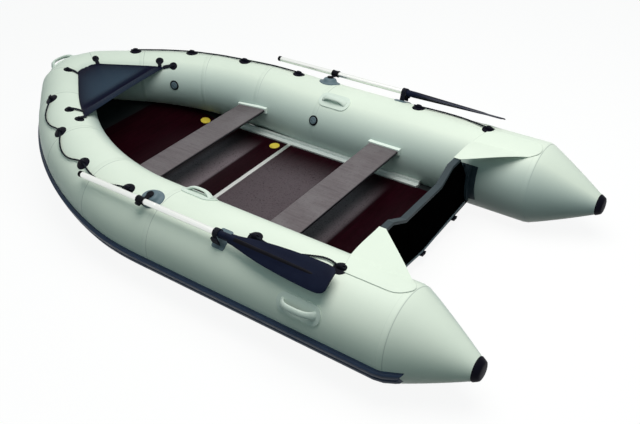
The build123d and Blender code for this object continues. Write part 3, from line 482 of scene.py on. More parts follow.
def rounded_box(length: float, width: float, corner: float, steps: int) -> list[tuple[float, float]]:
    """Outline of a rectangle with round corners, centred on its plane's origin."""
    points = []
    for turn, (sx, sy) in enumerate(((1, 1), (-1, 1), (-1, -1), (1, -1))):
        for i in range(steps + 1):
            a = pi / 2 * (turn + i / steps)
            x = sx * (length / 2 - corner) + corner * cos(a)
            points.append((x, sy * (width / 2 - corner) + corner * sin(a)))
    return points


# Finishes


class Graph:
    """One procedural material and the nodes that colour it."""

    def __init__(self, name: str) -> None:
        """Start a material with a Principled shader."""
        self.material = bpy.data.materials.new(name)
        self.material.use_nodes = True
        self.tree = self.material.node_tree
        self.shader = self.tree.nodes["Principled BSDF"]

    def node(self, kind: str, **settings: object) -> Node:
        """Add a node and set its properties and, by socket name, its inputs."""
        node = self.tree.nodes.new(kind)
        for key, value in settings.items():
            if hasattr(node, key):
                setattr(node, key, value)
            else:
                node.inputs[key.replace("_", " ").title()].default_value = value
        return node

    def group(self, effect: Tree, **values: object) -> Node:
        """Place a shared effect and set its named inputs."""
        node = self.tree.nodes.new("ShaderNodeGroup")
        node.node_tree = effect
        for key, value in values.items():
            node.inputs[key.replace("_", " ").title()].default_value = value
        return node

    def link(self, source: Socket, target: Socket) -> None:
        """Join two sockets."""
        self.tree.links.new(source, target)

    def mix(self, factor: Socket, low: object, high: object) -> Socket:
        """Blend two colours, each a socket or a plain colour, by a mask."""
        node = self.node("ShaderNodeMix", data_type="RGBA")
        self.link(factor, node.inputs["Factor"])
        for value, socket in ((low, node.inputs[6]), (high, node.inputs[7])):
            if isinstance(value, Socket):
                self.link(value, socket)
            else:
                socket.default_value = (*value, 1.0)
        return node.outputs[2]

    def base(self, color: Socket) -> None:
        """Use a colour as the shader's own."""
        self.link(color, self.shader.inputs["Base Color"])

    def gloss(self, mask: Socket, low: float, high: float) -> None:
        """Let the roughness run from one value to another by a mask."""
        rough = self.node("ShaderNodeMapRange", to_min=low, to_max=high)
        self.link(mask, rough.inputs["Value"])
        self.link(rough.outputs["Result"], self.shader.inputs["Roughness"])

    def bump(self, height: Socket, distance: float, strength: float) -> None:
        """Drive the shader's normal from a height."""
        node = self.node("ShaderNodeBump", distance=distance, strength=strength)
        self.link(height, node.inputs["Height"])
        self.link(node.outputs["Normal"], self.shader.inputs["Normal"])

    def settings(self, **values: object) -> None:
        """Set plain values on the shader's own sockets."""
        for key, value in values.items():
            self.shader.inputs[key.replace("_", " ").title()].default_value = value


class Effects:
    """Shader node groups shared by the finishes, each built once."""

    @staticmethod
    def start(
        name: str, inputs: Iterable[tuple[str, float]], outputs: Iterable[str]
    ) -> tuple[Tree, Node, Node]:
        """New node group with float inputs and outputs, and its two end nodes."""
        tree = bpy.data.node_groups.new(name, "ShaderNodeTree")
        for label, value in inputs:
            socket = tree.interface.new_socket(label, in_out="INPUT", socket_type="NodeSocketFloat")
            socket.default_value = value
        for label in outputs:
            tree.interface.new_socket(label, in_out="OUTPUT", socket_type="NodeSocketFloat")
        return tree, tree.nodes.new("NodeGroupInput"), tree.nodes.new("NodeGroupOutput")

    @staticmethod
    def spread(tree: Tree, value: Socket, start: Node, end: Node) -> None:
        """Stretch a value between the group's low and high inputs into its mask."""
        ramp = tree.nodes.new("ShaderNodeMapRange")
        sources = (value, "Value"), (start.outputs["Low"], "From Min"), (start.outputs["High"], "From Max")
        for source, label in sources:
            tree.links.new(source, ramp.inputs[label])
        tree.links.new(ramp.outputs["Result"], end.inputs["Mask"])

    @classmethod
    @cache
    def mottle(cls) -> Tree:
        """Slow change of tone over a surface, with finer clouds inside it."""
        tree, start, end = cls.start("mottle", [("Scale", 3.0), ("Low", 0.35), ("High", 0.7)], ["Mask"])
        place = tree.nodes.new("ShaderNodeTexCoord")
        noise = tree.nodes.new("ShaderNodeTexNoise")
        noise.inputs["Detail"].default_value = 7.0
        noise.inputs["Roughness"].default_value = 0.62
        tree.links.new(place.outputs["Object"], noise.inputs["Vector"])
        tree.links.new(start.outputs["Scale"], noise.inputs["Scale"])
        cls.spread(tree, noise.outputs["Fac"], start, end)
        return tree

    @classmethod
    @cache
    def grain(cls) -> Tree:
        """Fine relief of a cast or coated surface."""
        tree, start, end = cls.start("grain", [("Scale", 400.0), ("Coarse", 0.3)], ["Height"])
        place = tree.nodes.new("ShaderNodeTexCoord")
        fine = tree.nodes.new("ShaderNodeTexNoise")
        fine.inputs["Detail"].default_value = 3.0
        coarse = tree.nodes.new("ShaderNodeTexVoronoi")
        share = tree.nodes.new("ShaderNodeMath")
        share.operation = "MULTIPLY"
        total = tree.nodes.new("ShaderNodeMath")
        total.operation = "ADD"
        for texture in (fine, coarse):
            tree.links.new(place.outputs["Object"], texture.inputs["Vector"])
            tree.links.new(start.outputs["Scale"], texture.inputs["Scale"])
        tree.links.new(coarse.outputs["Distance"], share.inputs[0])
        tree.links.new(start.outputs["Coarse"], share.inputs[1])
        tree.links.new(fine.outputs["Fac"], total.inputs[0])
        tree.links.new(share.outputs[0], total.inputs[1])
        tree.links.new(total.outputs[0], end.inputs["Height"])
        return tree

    @classmethod
    @cache
    def streaks(cls) -> Tree:
        """Long thin marks along one way of a surface, such as wood grain or brushing."""
        inputs = [("Along X", 4.0), ("Along Y", 60.0), ("Along Z", 60.0), ("Low", 0.4), ("High", 0.65)]
        tree, start, end = cls.start("streaks", inputs, ["Mask"])
        place = tree.nodes.new("ShaderNodeTexCoord")
        scale = tree.nodes.new("ShaderNodeCombineXYZ")
        stretch = tree.nodes.new("ShaderNodeVectorMath")
        stretch.operation = "MULTIPLY"
        noise = tree.nodes.new("ShaderNodeTexNoise")
        noise.inputs["Scale"].default_value = 1.0
        noise.inputs["Detail"].default_value = 6.0
        noise.inputs["Roughness"].default_value = 0.65
        for label, socket in (("Along X", "X"), ("Along Y", "Y"), ("Along Z", "Z")):
            tree.links.new(start.outputs[label], scale.inputs[socket])
        tree.links.new(place.outputs["Object"], stretch.inputs[0])
        tree.links.new(scale.outputs[0], stretch.inputs[1])
        tree.links.new(stretch.outputs[0], noise.inputs["Vector"])
        cls.spread(tree, noise.outputs["Fac"], start, end)
        return tree


@dataclass(frozen=True)
class Finish:
    """Base of all finishes: a name, a colour and a second tone."""

    name: str
    color: Color
    tone: Color
    roughness: float = 0.5
    slot: str = ""
    specular: float = 0.5

    def material(self) -> bpy.types.Material:
        """The finish's material, made on its first use."""
        known = bpy.data.materials.get(self.name)
        if known:
            return known
        graph = Graph(self.name)
        graph.shader.inputs["Specular IOR Level"].default_value = self.specular
        self.paint(graph)
        return graph.material

    def paint(self, graph: Graph) -> None:
        """Add this finish's nodes to a new material."""
        raise NotImplementedError

    def dress(self, obj: Obj) -> None:
        """Make this the object's only material."""
        obj.data.materials.clear()
        obj.data.materials.append(self.material())


@dataclass(frozen=True)
class CoatedFabric(Finish):
    """Coated boat fabric: semi-gloss, faintly mottled, darker along glued seams, with painted shade on its
    inboard side.
    """

    seam_tone: Color = (0.42, 0.47, 0.43)
    # colour of the painted shade on the tube's inboard side, where the cockpit is in shade
    inboard_shade_tone: Color = (0.44, 0.53, 0.50)
    weave: float = 900.0
    relief: float = 0.00012

    def paint(self, graph: Graph) -> None:
        """Mottled colour, seam darkening and painted inboard shade from the mesh's own attributes, and a fine
        weave.
        """
        clouds = graph.group(Effects.mottle(), scale=2.6, low=0.38, high=0.68)
        color = graph.mix(clouds.outputs["Mask"], self.color, self.tone)
        seam = graph.node("ShaderNodeAttribute", attribute_name="seam")
        color = graph.mix(seam.outputs["Fac"], color, self.seam_tone)
        # painted shade on the inboard side, from the mesh's own attribute
        inboard_shade = graph.node("ShaderNodeAttribute", attribute_name="inboard_shade")
        color = graph.mix(inboard_shade.outputs["Fac"], color, self.inboard_shade_tone)
        graph.base(color)
        graph.gloss(clouds.outputs["Mask"], self.roughness - 0.06, self.roughness + 0.08)
        weave = graph.group(Effects.grain(), scale=self.weave, coarse=0.5)
        graph.bump(weave.outputs["Height"], self.relief, 0.5)


@dataclass(frozen=True)
class Moulded(Finish):
    """Moulded rubber or plastic with a cast grain and rubbed patches."""

    grain: float = 700.0
    relief: float = 0.0002

    def paint(self, graph: Graph) -> None:
        """Two near tones in clouds, uneven gloss and a fine cast grain."""
        clouds = graph.group(Effects.mottle(), scale=14.0, low=0.36, high=0.7)
        color = graph.mix(clouds.outputs["Mask"], self.color, self.tone)
        graph.base(color)
        graph.gloss(clouds.outputs["Mask"], self.roughness - 0.08, self.roughness + 0.1)
        cast = graph.group(Effects.grain(), scale=self.grain, coarse=0.6)
        graph.bump(cast.outputs["Height"], self.relief, 0.6)


@dataclass(frozen=True)
class FilmPlywood(Finish):
    """Film-faced plywood: grain showing through the film, pale random scuffs, a painted sheen in place of the
    scuffs where its rows are given, and black sealed edges.
    """

    scuff_and_sheen: Color = (0.16, 0.14, 0.15)
    sealed: Color = (0.004, 0.003, 0.006)
    grain_across: bool = True
    scuff_and_sheen_low: float = 0.46
    scuff_and_sheen_high: float = 0.72
    speckle: float = 150.0
    # painted sheen, with painted light under the seats, one row per place: distance forward of the stern
    # seam, share of the full sheen
    floor_sheen: Pairs = ()
    floor_sheen_edge: tuple[float, float] = (-0.40, -0.08)

    def sheen_mask(self, graph: Graph) -> Socket:
        """Mask of the painted sheen, from its profile along the boat and its fade to starboard."""
        place = graph.node("ShaderNodeTexCoord")
        parts = graph.node("ShaderNodeSeparateXYZ")
        graph.link(place.outputs["Object"], parts.inputs[0])
        start, end = self.floor_sheen[0][0], self.floor_sheen[-1][0]
        run = graph.node("ShaderNodeMapRange", from_min=start + LINES.stern_x, from_max=end + LINES.stern_x)
        graph.link(parts.outputs["X"], run.inputs["Value"])
        ramp = graph.node("ShaderNodeValToRGB")
        stops = ramp.color_ramp.elements
        for s, _ in self.floor_sheen[1:-1]:
            stops.new((s - start) / (end - start))
        for stop, (_, share) in zip(stops, self.floor_sheen):
            stop.color = (share, share, share, 1.0)
        graph.link(run.outputs["Result"], ramp.inputs[0])
        low, high = self.floor_sheen_edge
        edge = graph.node("ShaderNodeMapRange", interpolation_type="SMOOTHSTEP", from_min=low, from_max=high)
        graph.link(parts.outputs["Y"], edge.inputs["Value"])
        both = graph.node("ShaderNodeMath", operation="MULTIPLY")
        graph.link(ramp.outputs["Color"], both.inputs[0])
        graph.link(edge.outputs["Result"], both.inputs[1])
        return both.outputs[0]

    def paint(self, graph: Graph) -> None:
        """Grain streaks, scuffing (a painted sheen where its rows are given), specks, sealed edges and a
        pitted film.
        """
        along_x, along_y = (70.0, 5.0) if self.grain_across else (5.0, 70.0)
        grain = graph.group(
            Effects.streaks(), along_x=along_x, along_y=along_y, along_z=40.0, low=0.35, high=0.7
        )
        color = graph.mix(grain.outputs["Mask"], self.color, self.tone)
        clouds = graph.group(Effects.mottle(), scale=4.5, low=self.scuff_and_sheen_low, high=self.scuff_and_sheen_high)
        # painted sheen where its rows are given, random scuffs otherwise
        wear_and_sheen = self.sheen_mask(graph) if self.floor_sheen else clouds.outputs["Mask"]
        color = graph.mix(wear_and_sheen, color, self.scuff_and_sheen)
        specks = graph.group(Effects.mottle(), scale=self.speckle, low=0.54, high=0.72)
        color = graph.mix(specks.outputs["Mask"], color, self.tone)
        place = graph.node("ShaderNodeTexCoord")
        facing = graph.node("ShaderNodeSeparateXYZ")
        graph.link(place.outputs["Normal"], facing.inputs[0])
        upward = graph.node("ShaderNodeMapRange", from_min=0.6, from_max=0.9)
        graph.link(facing.outputs["Z"], upward.inputs["Value"])
        graph.base(graph.mix(upward.outputs["Result"], self.sealed, color))
        graph.gloss(clouds.outputs["Mask"], self.roughness, self.roughness + 0.16)
        pits = graph.group(Effects.grain(), scale=260.0, coarse=1.2)
        graph.bump(pits.outputs["Height"], 0.0006, 0.6)


@dataclass(frozen=True)
class DrawnMetal(Finish):
    """Extruded or drawn aluminium with fine lines along its length."""

    metallic: float = 1.0

    def paint(self, graph: Graph) -> None:
        """Fine lines along X, faint clouds of dulling."""
        lines = graph.group(Effects.streaks(), along_x=3.0, along_y=420.0, along_z=420.0, low=0.3, high=0.75)
        color = graph.mix(lines.outputs["Mask"], self.color, self.tone)
        graph.base(color)
        graph.settings(metallic=self.metallic)
        graph.gloss(lines.outputs["Mask"], self.roughness - 0.08, self.roughness + 0.08)
        graph.bump(lines.outputs["Mask"], 0.00008, 0.5)


@dataclass(frozen=True)
class WovenCloth(Finish):
    """Woven band, rope or cover cloth with visible threads."""

    threads: float = 500.0
    relief: float = 0.0005

    def paint(self, graph: Graph) -> None:
        """Crossing threads as relief and as a slight change of tone."""
        place = graph.node("ShaderNodeTexCoord")
        heights = []
        for way in ("X", "Y", "Z"):
            wave = graph.node("ShaderNodeTexWave", bands_direction=way, scale=self.threads, distortion=0.6)
            graph.link(place.outputs["Object"], wave.inputs["Vector"])
            heights.append(wave.outputs["Fac"])
        pair = graph.node("ShaderNodeMath", operation="MAXIMUM")
        graph.link(heights[0], pair.inputs[0])
        graph.link(heights[1], pair.inputs[1])
        cloth = graph.node("ShaderNodeMath", operation="MULTIPLY")
        graph.link(pair.outputs[0], cloth.inputs[0])
        graph.link(heights[2], cloth.inputs[1])
        graph.base(self.shade(graph))
        graph.settings(roughness=self.roughness)
        graph.bump(cloth.outputs[0], self.relief, 0.5)

    def shade(self, graph: Graph) -> Socket:
        """Colour of the cloth, in two near tones."""
        clouds = graph.group(Effects.mottle(), scale=9.0, low=0.35, high=0.7)
        return graph.mix(clouds.outputs["Mask"], self.color, self.tone)


@dataclass(frozen=True)
class FoldedCloth(WovenCloth):
    """Cover cloth with a painted sheen where it is stretched, falling to its dark base colour at its edges
    and in its fold.
    """

    # colour of the painted sheen on the stretched cloth
    stretched: Color = (0.024, 0.044, 0.070)

    def shade(self, graph: Graph) -> Socket:
        """Colour of the cloth, lightened by a painted sheen from the mesh's own attribute."""
        # painted sheen, as a share per vertex
        stretch = graph.node("ShaderNodeAttribute", attribute_name="stretch")
        return graph.mix(stretch.outputs["Fac"], super().shade(graph), self.stretched)


TUBE = CoatedFabric(
    "tube_fabric_pale", (0.755, 0.825, 0.725), (0.725, 0.795, 0.70),
    roughness=0.46, slot="tube_fabric", specular=0.2,
)
# bottom fabric darker than grey, as painted shade for the bottom in shade under the bow cover
SHADED_BOTTOM = CoatedFabric(
    "bottom_fabric_grey", (0.018, 0.021, 0.022), (0.013, 0.016, 0.017),
    roughness=0.5, slot="bottom_fabric", specular=0.05,
)
NAVY_CLOTH = FoldedCloth(
    "dodger_cloth_navy", (0.0012, 0.0018, 0.0110), (0.0020, 0.0028, 0.0140),
    roughness=0.5, slot="navy_fabric", specular=0.04,
    threads=420.0,
)
WEBBING = WovenCloth(
    "strap_webbing_black", (0.003, 0.004, 0.009), (0.006, 0.007, 0.012),
    roughness=0.7, slot="webbing", specular=0.1, threads=700.0,
)
ROPE = WovenCloth(
    "lifeline_rope_black", (0.004, 0.006, 0.011), (0.010, 0.013, 0.020),
    roughness=0.75, slot="rope", specular=0.12, threads=900.0,
)
STRAKE = Moulded(
    "strake_rubber_navy", (0.016, 0.030, 0.062), (0.024, 0.042, 0.080),
    roughness=0.42, slot="strake_rubber", specular=0.12,
)
BLACK_RUBBER = Moulded(
    "patch_rubber_black", (0.002, 0.002, 0.006), (0.004, 0.004, 0.009),
    roughness=0.5, slot="black_rubber", specular=0.05,
)
SLATE = Moulded(
    "oarlock_rubber_slate", (0.095, 0.142, 0.172), (0.125, 0.175, 0.205),
    roughness=0.45, slot="slate_rubber", specular=0.25,
)
# transom holders: slate rubber, darkened further as painted shade for the shaded inboard side aft of the
# transom
SHADED_SLATE = Moulded(
    "holder_rubber_slate_shaded", (0.022, 0.036, 0.047), (0.030, 0.046, 0.058),
    roughness=0.5, slot="grey_edging", specular=0.08,
)
PALE_RUBBER = Moulded(
    "handle_rubber_pale", (0.68, 0.76, 0.69), (0.63, 0.71, 0.65),
    roughness=0.45, slot="pale_rubber", specular=0.2,
)
BLACK_PLASTIC = Moulded(
    "fitting_plastic_black", (0.002, 0.002, 0.004), (0.004, 0.004, 0.007),
    roughness=0.4, slot="black_plastic", specular=0.06,
)
BLADE_PLASTIC = Moulded(
    "blade_plastic_navy", (0.0038, 0.0058, 0.0180), (0.0056, 0.0088, 0.0235),
    roughness=0.45, slot="blade_plastic", specular=0.05,
)
WHITE_PLASTIC = Moulded(
    "bracket_plastic_white", (0.78, 0.86, 0.80), (0.72, 0.80, 0.75),
    roughness=0.45, slot="white_plastic", specular=0.3,
)
YELLOW_PLASTIC = Moulded(
    "plug_plastic_yellow", (0.66, 0.52, 0.06), (0.56, 0.44, 0.05),
    roughness=0.35, slot="yellow_plastic", specular=0.3,
)
GREY_EDGE = Moulded(
    "edging_plastic_grey", (0.034, 0.047, 0.055), (0.042, 0.057, 0.066),
    roughness=0.5, slot="grey_edging", specular=0.12,
)
# the rows below paint a sheen on the dark film, and light under the seats, where the seats shade the floor
FLOOR_PLY = FilmPlywood(
    "floor_film_maroon", (0.0130, 0.0012, 0.0036), (0.0050, 0.0006, 0.0014),
    roughness=0.34, slot="film_plywood", specular=0.02,
    scuff_and_sheen=(0.230, 0.192, 0.214),
    floor_sheen=(
        (0.345, 0.00), (0.715, 0.00), (0.740, 0.50), (0.765, 0.70), (0.900, 0.75), (0.930, 0.38),
        (1.200, 0.40), (1.484, 0.34), (1.494, 0.01), (1.636, 0.03), (1.652, 0.70), (1.840, 0.75),
        (1.885, 0.08), (2.000, 0.02), (2.200, 0.00),
    ),
)
# seats: the same maroon film as the floor, given a lighter taupe colour as painted sheen
SEAT_PLY = FilmPlywood(
    "seat_film_painted_sheen", (0.115, 0.097, 0.104), (0.066, 0.049, 0.056),
    roughness=0.34, slot="seat_plywood", specular=0.40,
    scuff_and_sheen=(0.137, 0.122, 0.130),
    grain_across=False, speckle=75.0,
)
TRANSOM_PLY = Moulded(
    "transom_paint_black", (0.001, 0.001, 0.001), (0.002, 0.002, 0.002),
    roughness=0.5, slot="transom_plywood", specular=0.0,
)
ALUMINIUM = DrawnMetal(
    "aluminium_drawn", (0.86, 0.88, 0.85), (0.72, 0.75, 0.72),
    roughness=0.34, slot="aluminium",
)
ANODISED = DrawnMetal(
    "aluminium_anodised", (0.66, 0.71, 0.69), (0.56, 0.61, 0.60),
    roughness=0.42, slot="aluminium", metallic=0.25,
)


def hand_over(
    obj: Obj, finish: Finish, body: Body, nodes: Sequence[str] = (), angle: float = SOFT_EDGE
) -> Obj:
    """Shade, dress and place a finished piece on its body.

    Args:
        obj: the piece, at the origin with its place in its mesh.
        finish: the finish that it wears.
        body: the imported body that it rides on.
        nodes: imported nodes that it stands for.
        angle: edges flatter than this many degrees are shaded smoothly.

    Returns:
        The piece.
    """
    Bench.smooth(obj, angle)
    if not obj.data.materials:
        finish.dress(obj)
    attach(obj, body.value)
    if nodes:
        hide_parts(*nodes)
    LOG.info("%s: %d faces, rides on %s", obj.name, len(obj.data.polygons), body.value)
    return obj


def hand_over_pair(
    obj: Obj, finish: Finish, node: str, angle: float = SOFT_EDGE, bodies: Sequence[Body] = ()
) -> tuple[Obj, Obj]:
    """Hand over a port piece and its starboard twin, each for its own node."""
    port, starboard = bodies or (Body.HULL, Body.HULL)
    twin = Bench.mirrored(obj, f"{obj.name}_starboard")
    Bench.named(obj, f"{obj.name}_port")
    hand_over(obj, finish, port, [f"{node}_port"] if node else [], angle)
    hand_over(twin, finish, starboard, [f"{node}_starboard"] if node else [], angle)
    return obj, twin


# Sub-assemblies


@dataclass
class BuoyancyTube:
    """Inflated side tube with its stern cone, bow quarter and nose."""

    sides: int = 96
    tape_half: float = 0.012
    tape_lift: float = 0.0005
    tape_step: float = 0.0010
    line_half: float = 0.0018
    line_dirt: float = 0.7
    edge_dirt: float = 0.2
    far_dirt: float = 0.22
    smooth_angle: float = 60.0
    nose_seam: float = 0.02
    step: float = 0.045
    cone_bulge: float = 0.004
    # reach of the painted inboard shade: where it starts and where it is full, as inboardness from -1 to 1
    inboard_shade_reach: tuple[float, float] = (0.45, 1.0)
    stern_seams: tuple[float, ...] = (0.006, 1.335)
    quarter_seams: tuple[float, ...] = (1.800, 2.210, 2.640)

    def stations(self, start: float, end: float, seams: Sequence[float]) -> list[Point]:
        """Places of the rings along one length of tube.

        Args:
            start: distance along the tube to the first ring.
            end: distance to the last ring.
            seams: distances to the middles of its glued tapes.

        Returns:
            Rows of distance, lift of the skin and darkening of the seam.
        """
        count = ceil((end - start) / self.step)
        rows = [(start + (end - start) * i / count, 0.0, 0.0) for i in range(count)] + [(end, 0.0, 0.0)]
        edge = self.tape_half + self.tape_step
        line = self.line_half
        half, lift = self.tape_half, self.tape_lift
        profile = (
            (-edge - 2 * line, 0.0, 0.0), (-edge - line, 0.0, self.line_dirt), (-edge, 0.0, self.line_dirt),
            (-half, lift, self.edge_dirt), (line - half, lift, 0.0), (half, lift, 0.0),
            (edge, 0.0, self.far_dirt), (edge + line, 0.0, 0.0),
        )
        for seam in seams:
            rows = [row for row in rows if abs(row[0] - seam) > edge * 1.6 or row[0] in (start, end)]
            rows += [(seam + offset, rise, dirt) for offset, rise, dirt in profile]
        return sorted(row for row in rows if start <= row[0] <= end)

    def ring(self, s: float, lift: float) -> Ring:
        """One round section of the skin."""
        section = LINES.section(s)
        if s < 0:
            share = min(-s / LINES.cone_length, 1.0)
            lift += self.cone_bulge * 4 * share * (1 - share)
        return circle(section.centre, section.outboard(), UP, section.radius + lift, self.sides)

    def length(self, name: str, start: float, end: float, seams: Sequence[float]) -> Obj:
        """One length of tube with its seam tapes."""
        rows = self.stations(start, end, seams)
        obj = Bench.loft(name, [self.ring(s, lift) for s, lift, _ in rows])
        Bench.mark(obj, "seam", [dirt for _, _, dirt in rows for _ in range(self.sides)])
        # painted shade, darker towards the inboard side of the tube
        inboard = [-cos(2 * pi * i / self.sides) for i in range(self.sides)]
        low, high = self.inboard_shade_reach
        shares = [max(0.0, min((value - low) / (high - low), 1.0)) for value in inboard]
        Bench.mark(obj, "inboard_shade", shares * len(rows))
        return obj

    def build(self) -> None:
        """Both side tubes, both bow quarters and the nose."""
        stern = self.length("tube_skin", -LINES.cone_length, LINES.bend_start, self.stern_seams)
        hand_over_pair(stern, TUBE, "tube", self.smooth_angle)
        quarter = self.length("bow_quarter_skin", LINES.bend_start, LINES.mitre, self.quarter_seams)
        hand_over_pair(quarter, TUBE, "bow_quarter", self.smooth_angle)
        far_mitre = 2 * LINES.middle - LINES.mitre
        seams = (LINES.mitre + self.nose_seam, far_mitre - self.nose_seam)
        nose = self.length("bow_nose_skin", LINES.mitre, far_mitre, seams)
        hand_over(nose, TUBE, Body.HULL, ["bow_nose"], self.smooth_angle)


@dataclass
class ConeCaps:
    """Moulded caps over the ends of the stern cones."""

    profile: Pairs = (
        (0.030, -0.004), (0.0548, -0.004), (0.0556, -0.001), (0.0552, 0.003), (0.0534, 0.005),
        (0.0522, 0.008), (0.0460, 0.019), (0.0425, 0.0235), (0.0350, 0.0266), (0.0180, 0.0280),
    )

    def build(self) -> None:
        """Two turned caps joined as one piece."""
        cap = Bench.turned("cone_cap", self.profile, 56)
        tip = LINES.section(-LINES.cone_length).centre
        Bench.shift(cap, Matrix.Translation(tip) @ Matrix.Rotation(-pi / 2, 4, "Y"))
        twin = Bench.mirrored(cap, "cone_cap_twin")
        hand_over(Bench.join("cone_caps_moulded", cap, twin), BLACK_RUBBER, Body.HULL, ["cone_caps"])


@dataclass
class RubbingStrake:
    """Ribbed rubber strake glued along the widest line of the tubes."""

    top_angle: float = 97.0
    width: float = 0.070
    tail: float = 0.024
    step: float = 0.045
    start: float = -0.060
    corner_half: float = 0.006
    # rounded aft end, one row per ring: distance aft of the start, share of the full height
    end_rings: Pairs = ((0.006, 0.4), (0.003, 0.9))
    # one row per profile point: share of the width, height over the skin
    profile: Pairs = (
        (0.00, -0.002), (0.00, 0.005), (0.03, 0.0075), (0.07, 0.0085), (0.10, 0.0165), (0.14, 0.0195),
        (0.22, 0.0200), (0.38, 0.0200), (0.43, 0.0185), (0.46, 0.0125), (0.50, 0.0115), (0.54, 0.0125),
        (0.57, 0.0185), (0.62, 0.0200), (0.78, 0.0200), (0.86, 0.0195), (0.90, 0.0165), (0.93, 0.0085),
        (0.97, 0.0075), (1.00, 0.005), (1.00, -0.002), (0.50, -0.002),
    )

    def ring(self, s: float, scale: float = 1.0, tail: float = 0.0) -> Ring:
        """The ribbed profile on one section of the tube.

        Args:
            s: distance along the tube.
            scale: share of the full height over the skin.
            tail: how far the upper edge runs on aft of the notch in the middle.

        Returns:
            The profile's points.
        """
        points = []
        for share, lift in self.profile:
            place = s - tail * max(1 - 2 * share, share - 0.5)
            angle = self.top_angle + degrees(self.width * share / LINES.section(place).radius)
            points.append(LINES.skin(place, angle, lift * scale if lift > 0 else lift))
        return points

    def build(self) -> None:
        """Strake of one side, from the stern cone to the nose's middle, and its twin."""
        count = ceil((LINES.middle - self.start) / self.step)
        places = [self.start + (LINES.middle - self.start) * i / count for i in range(count + 1)]
        for corner in (LINES.mitre, LINES.front_mitre):
            places += [corner - self.corner_half, corner + self.corner_half]
        rings = [self.ring(self.start - aft, scale, self.tail) for aft, scale in self.end_rings]
        rings += [self.ring(s) for s in sorted(places)]
        strake = Bench.loft("strake_ribbed", rings, Ends.FILLED)
        hand_over_pair(strake, STRAKE, "strake", angle=34.0)


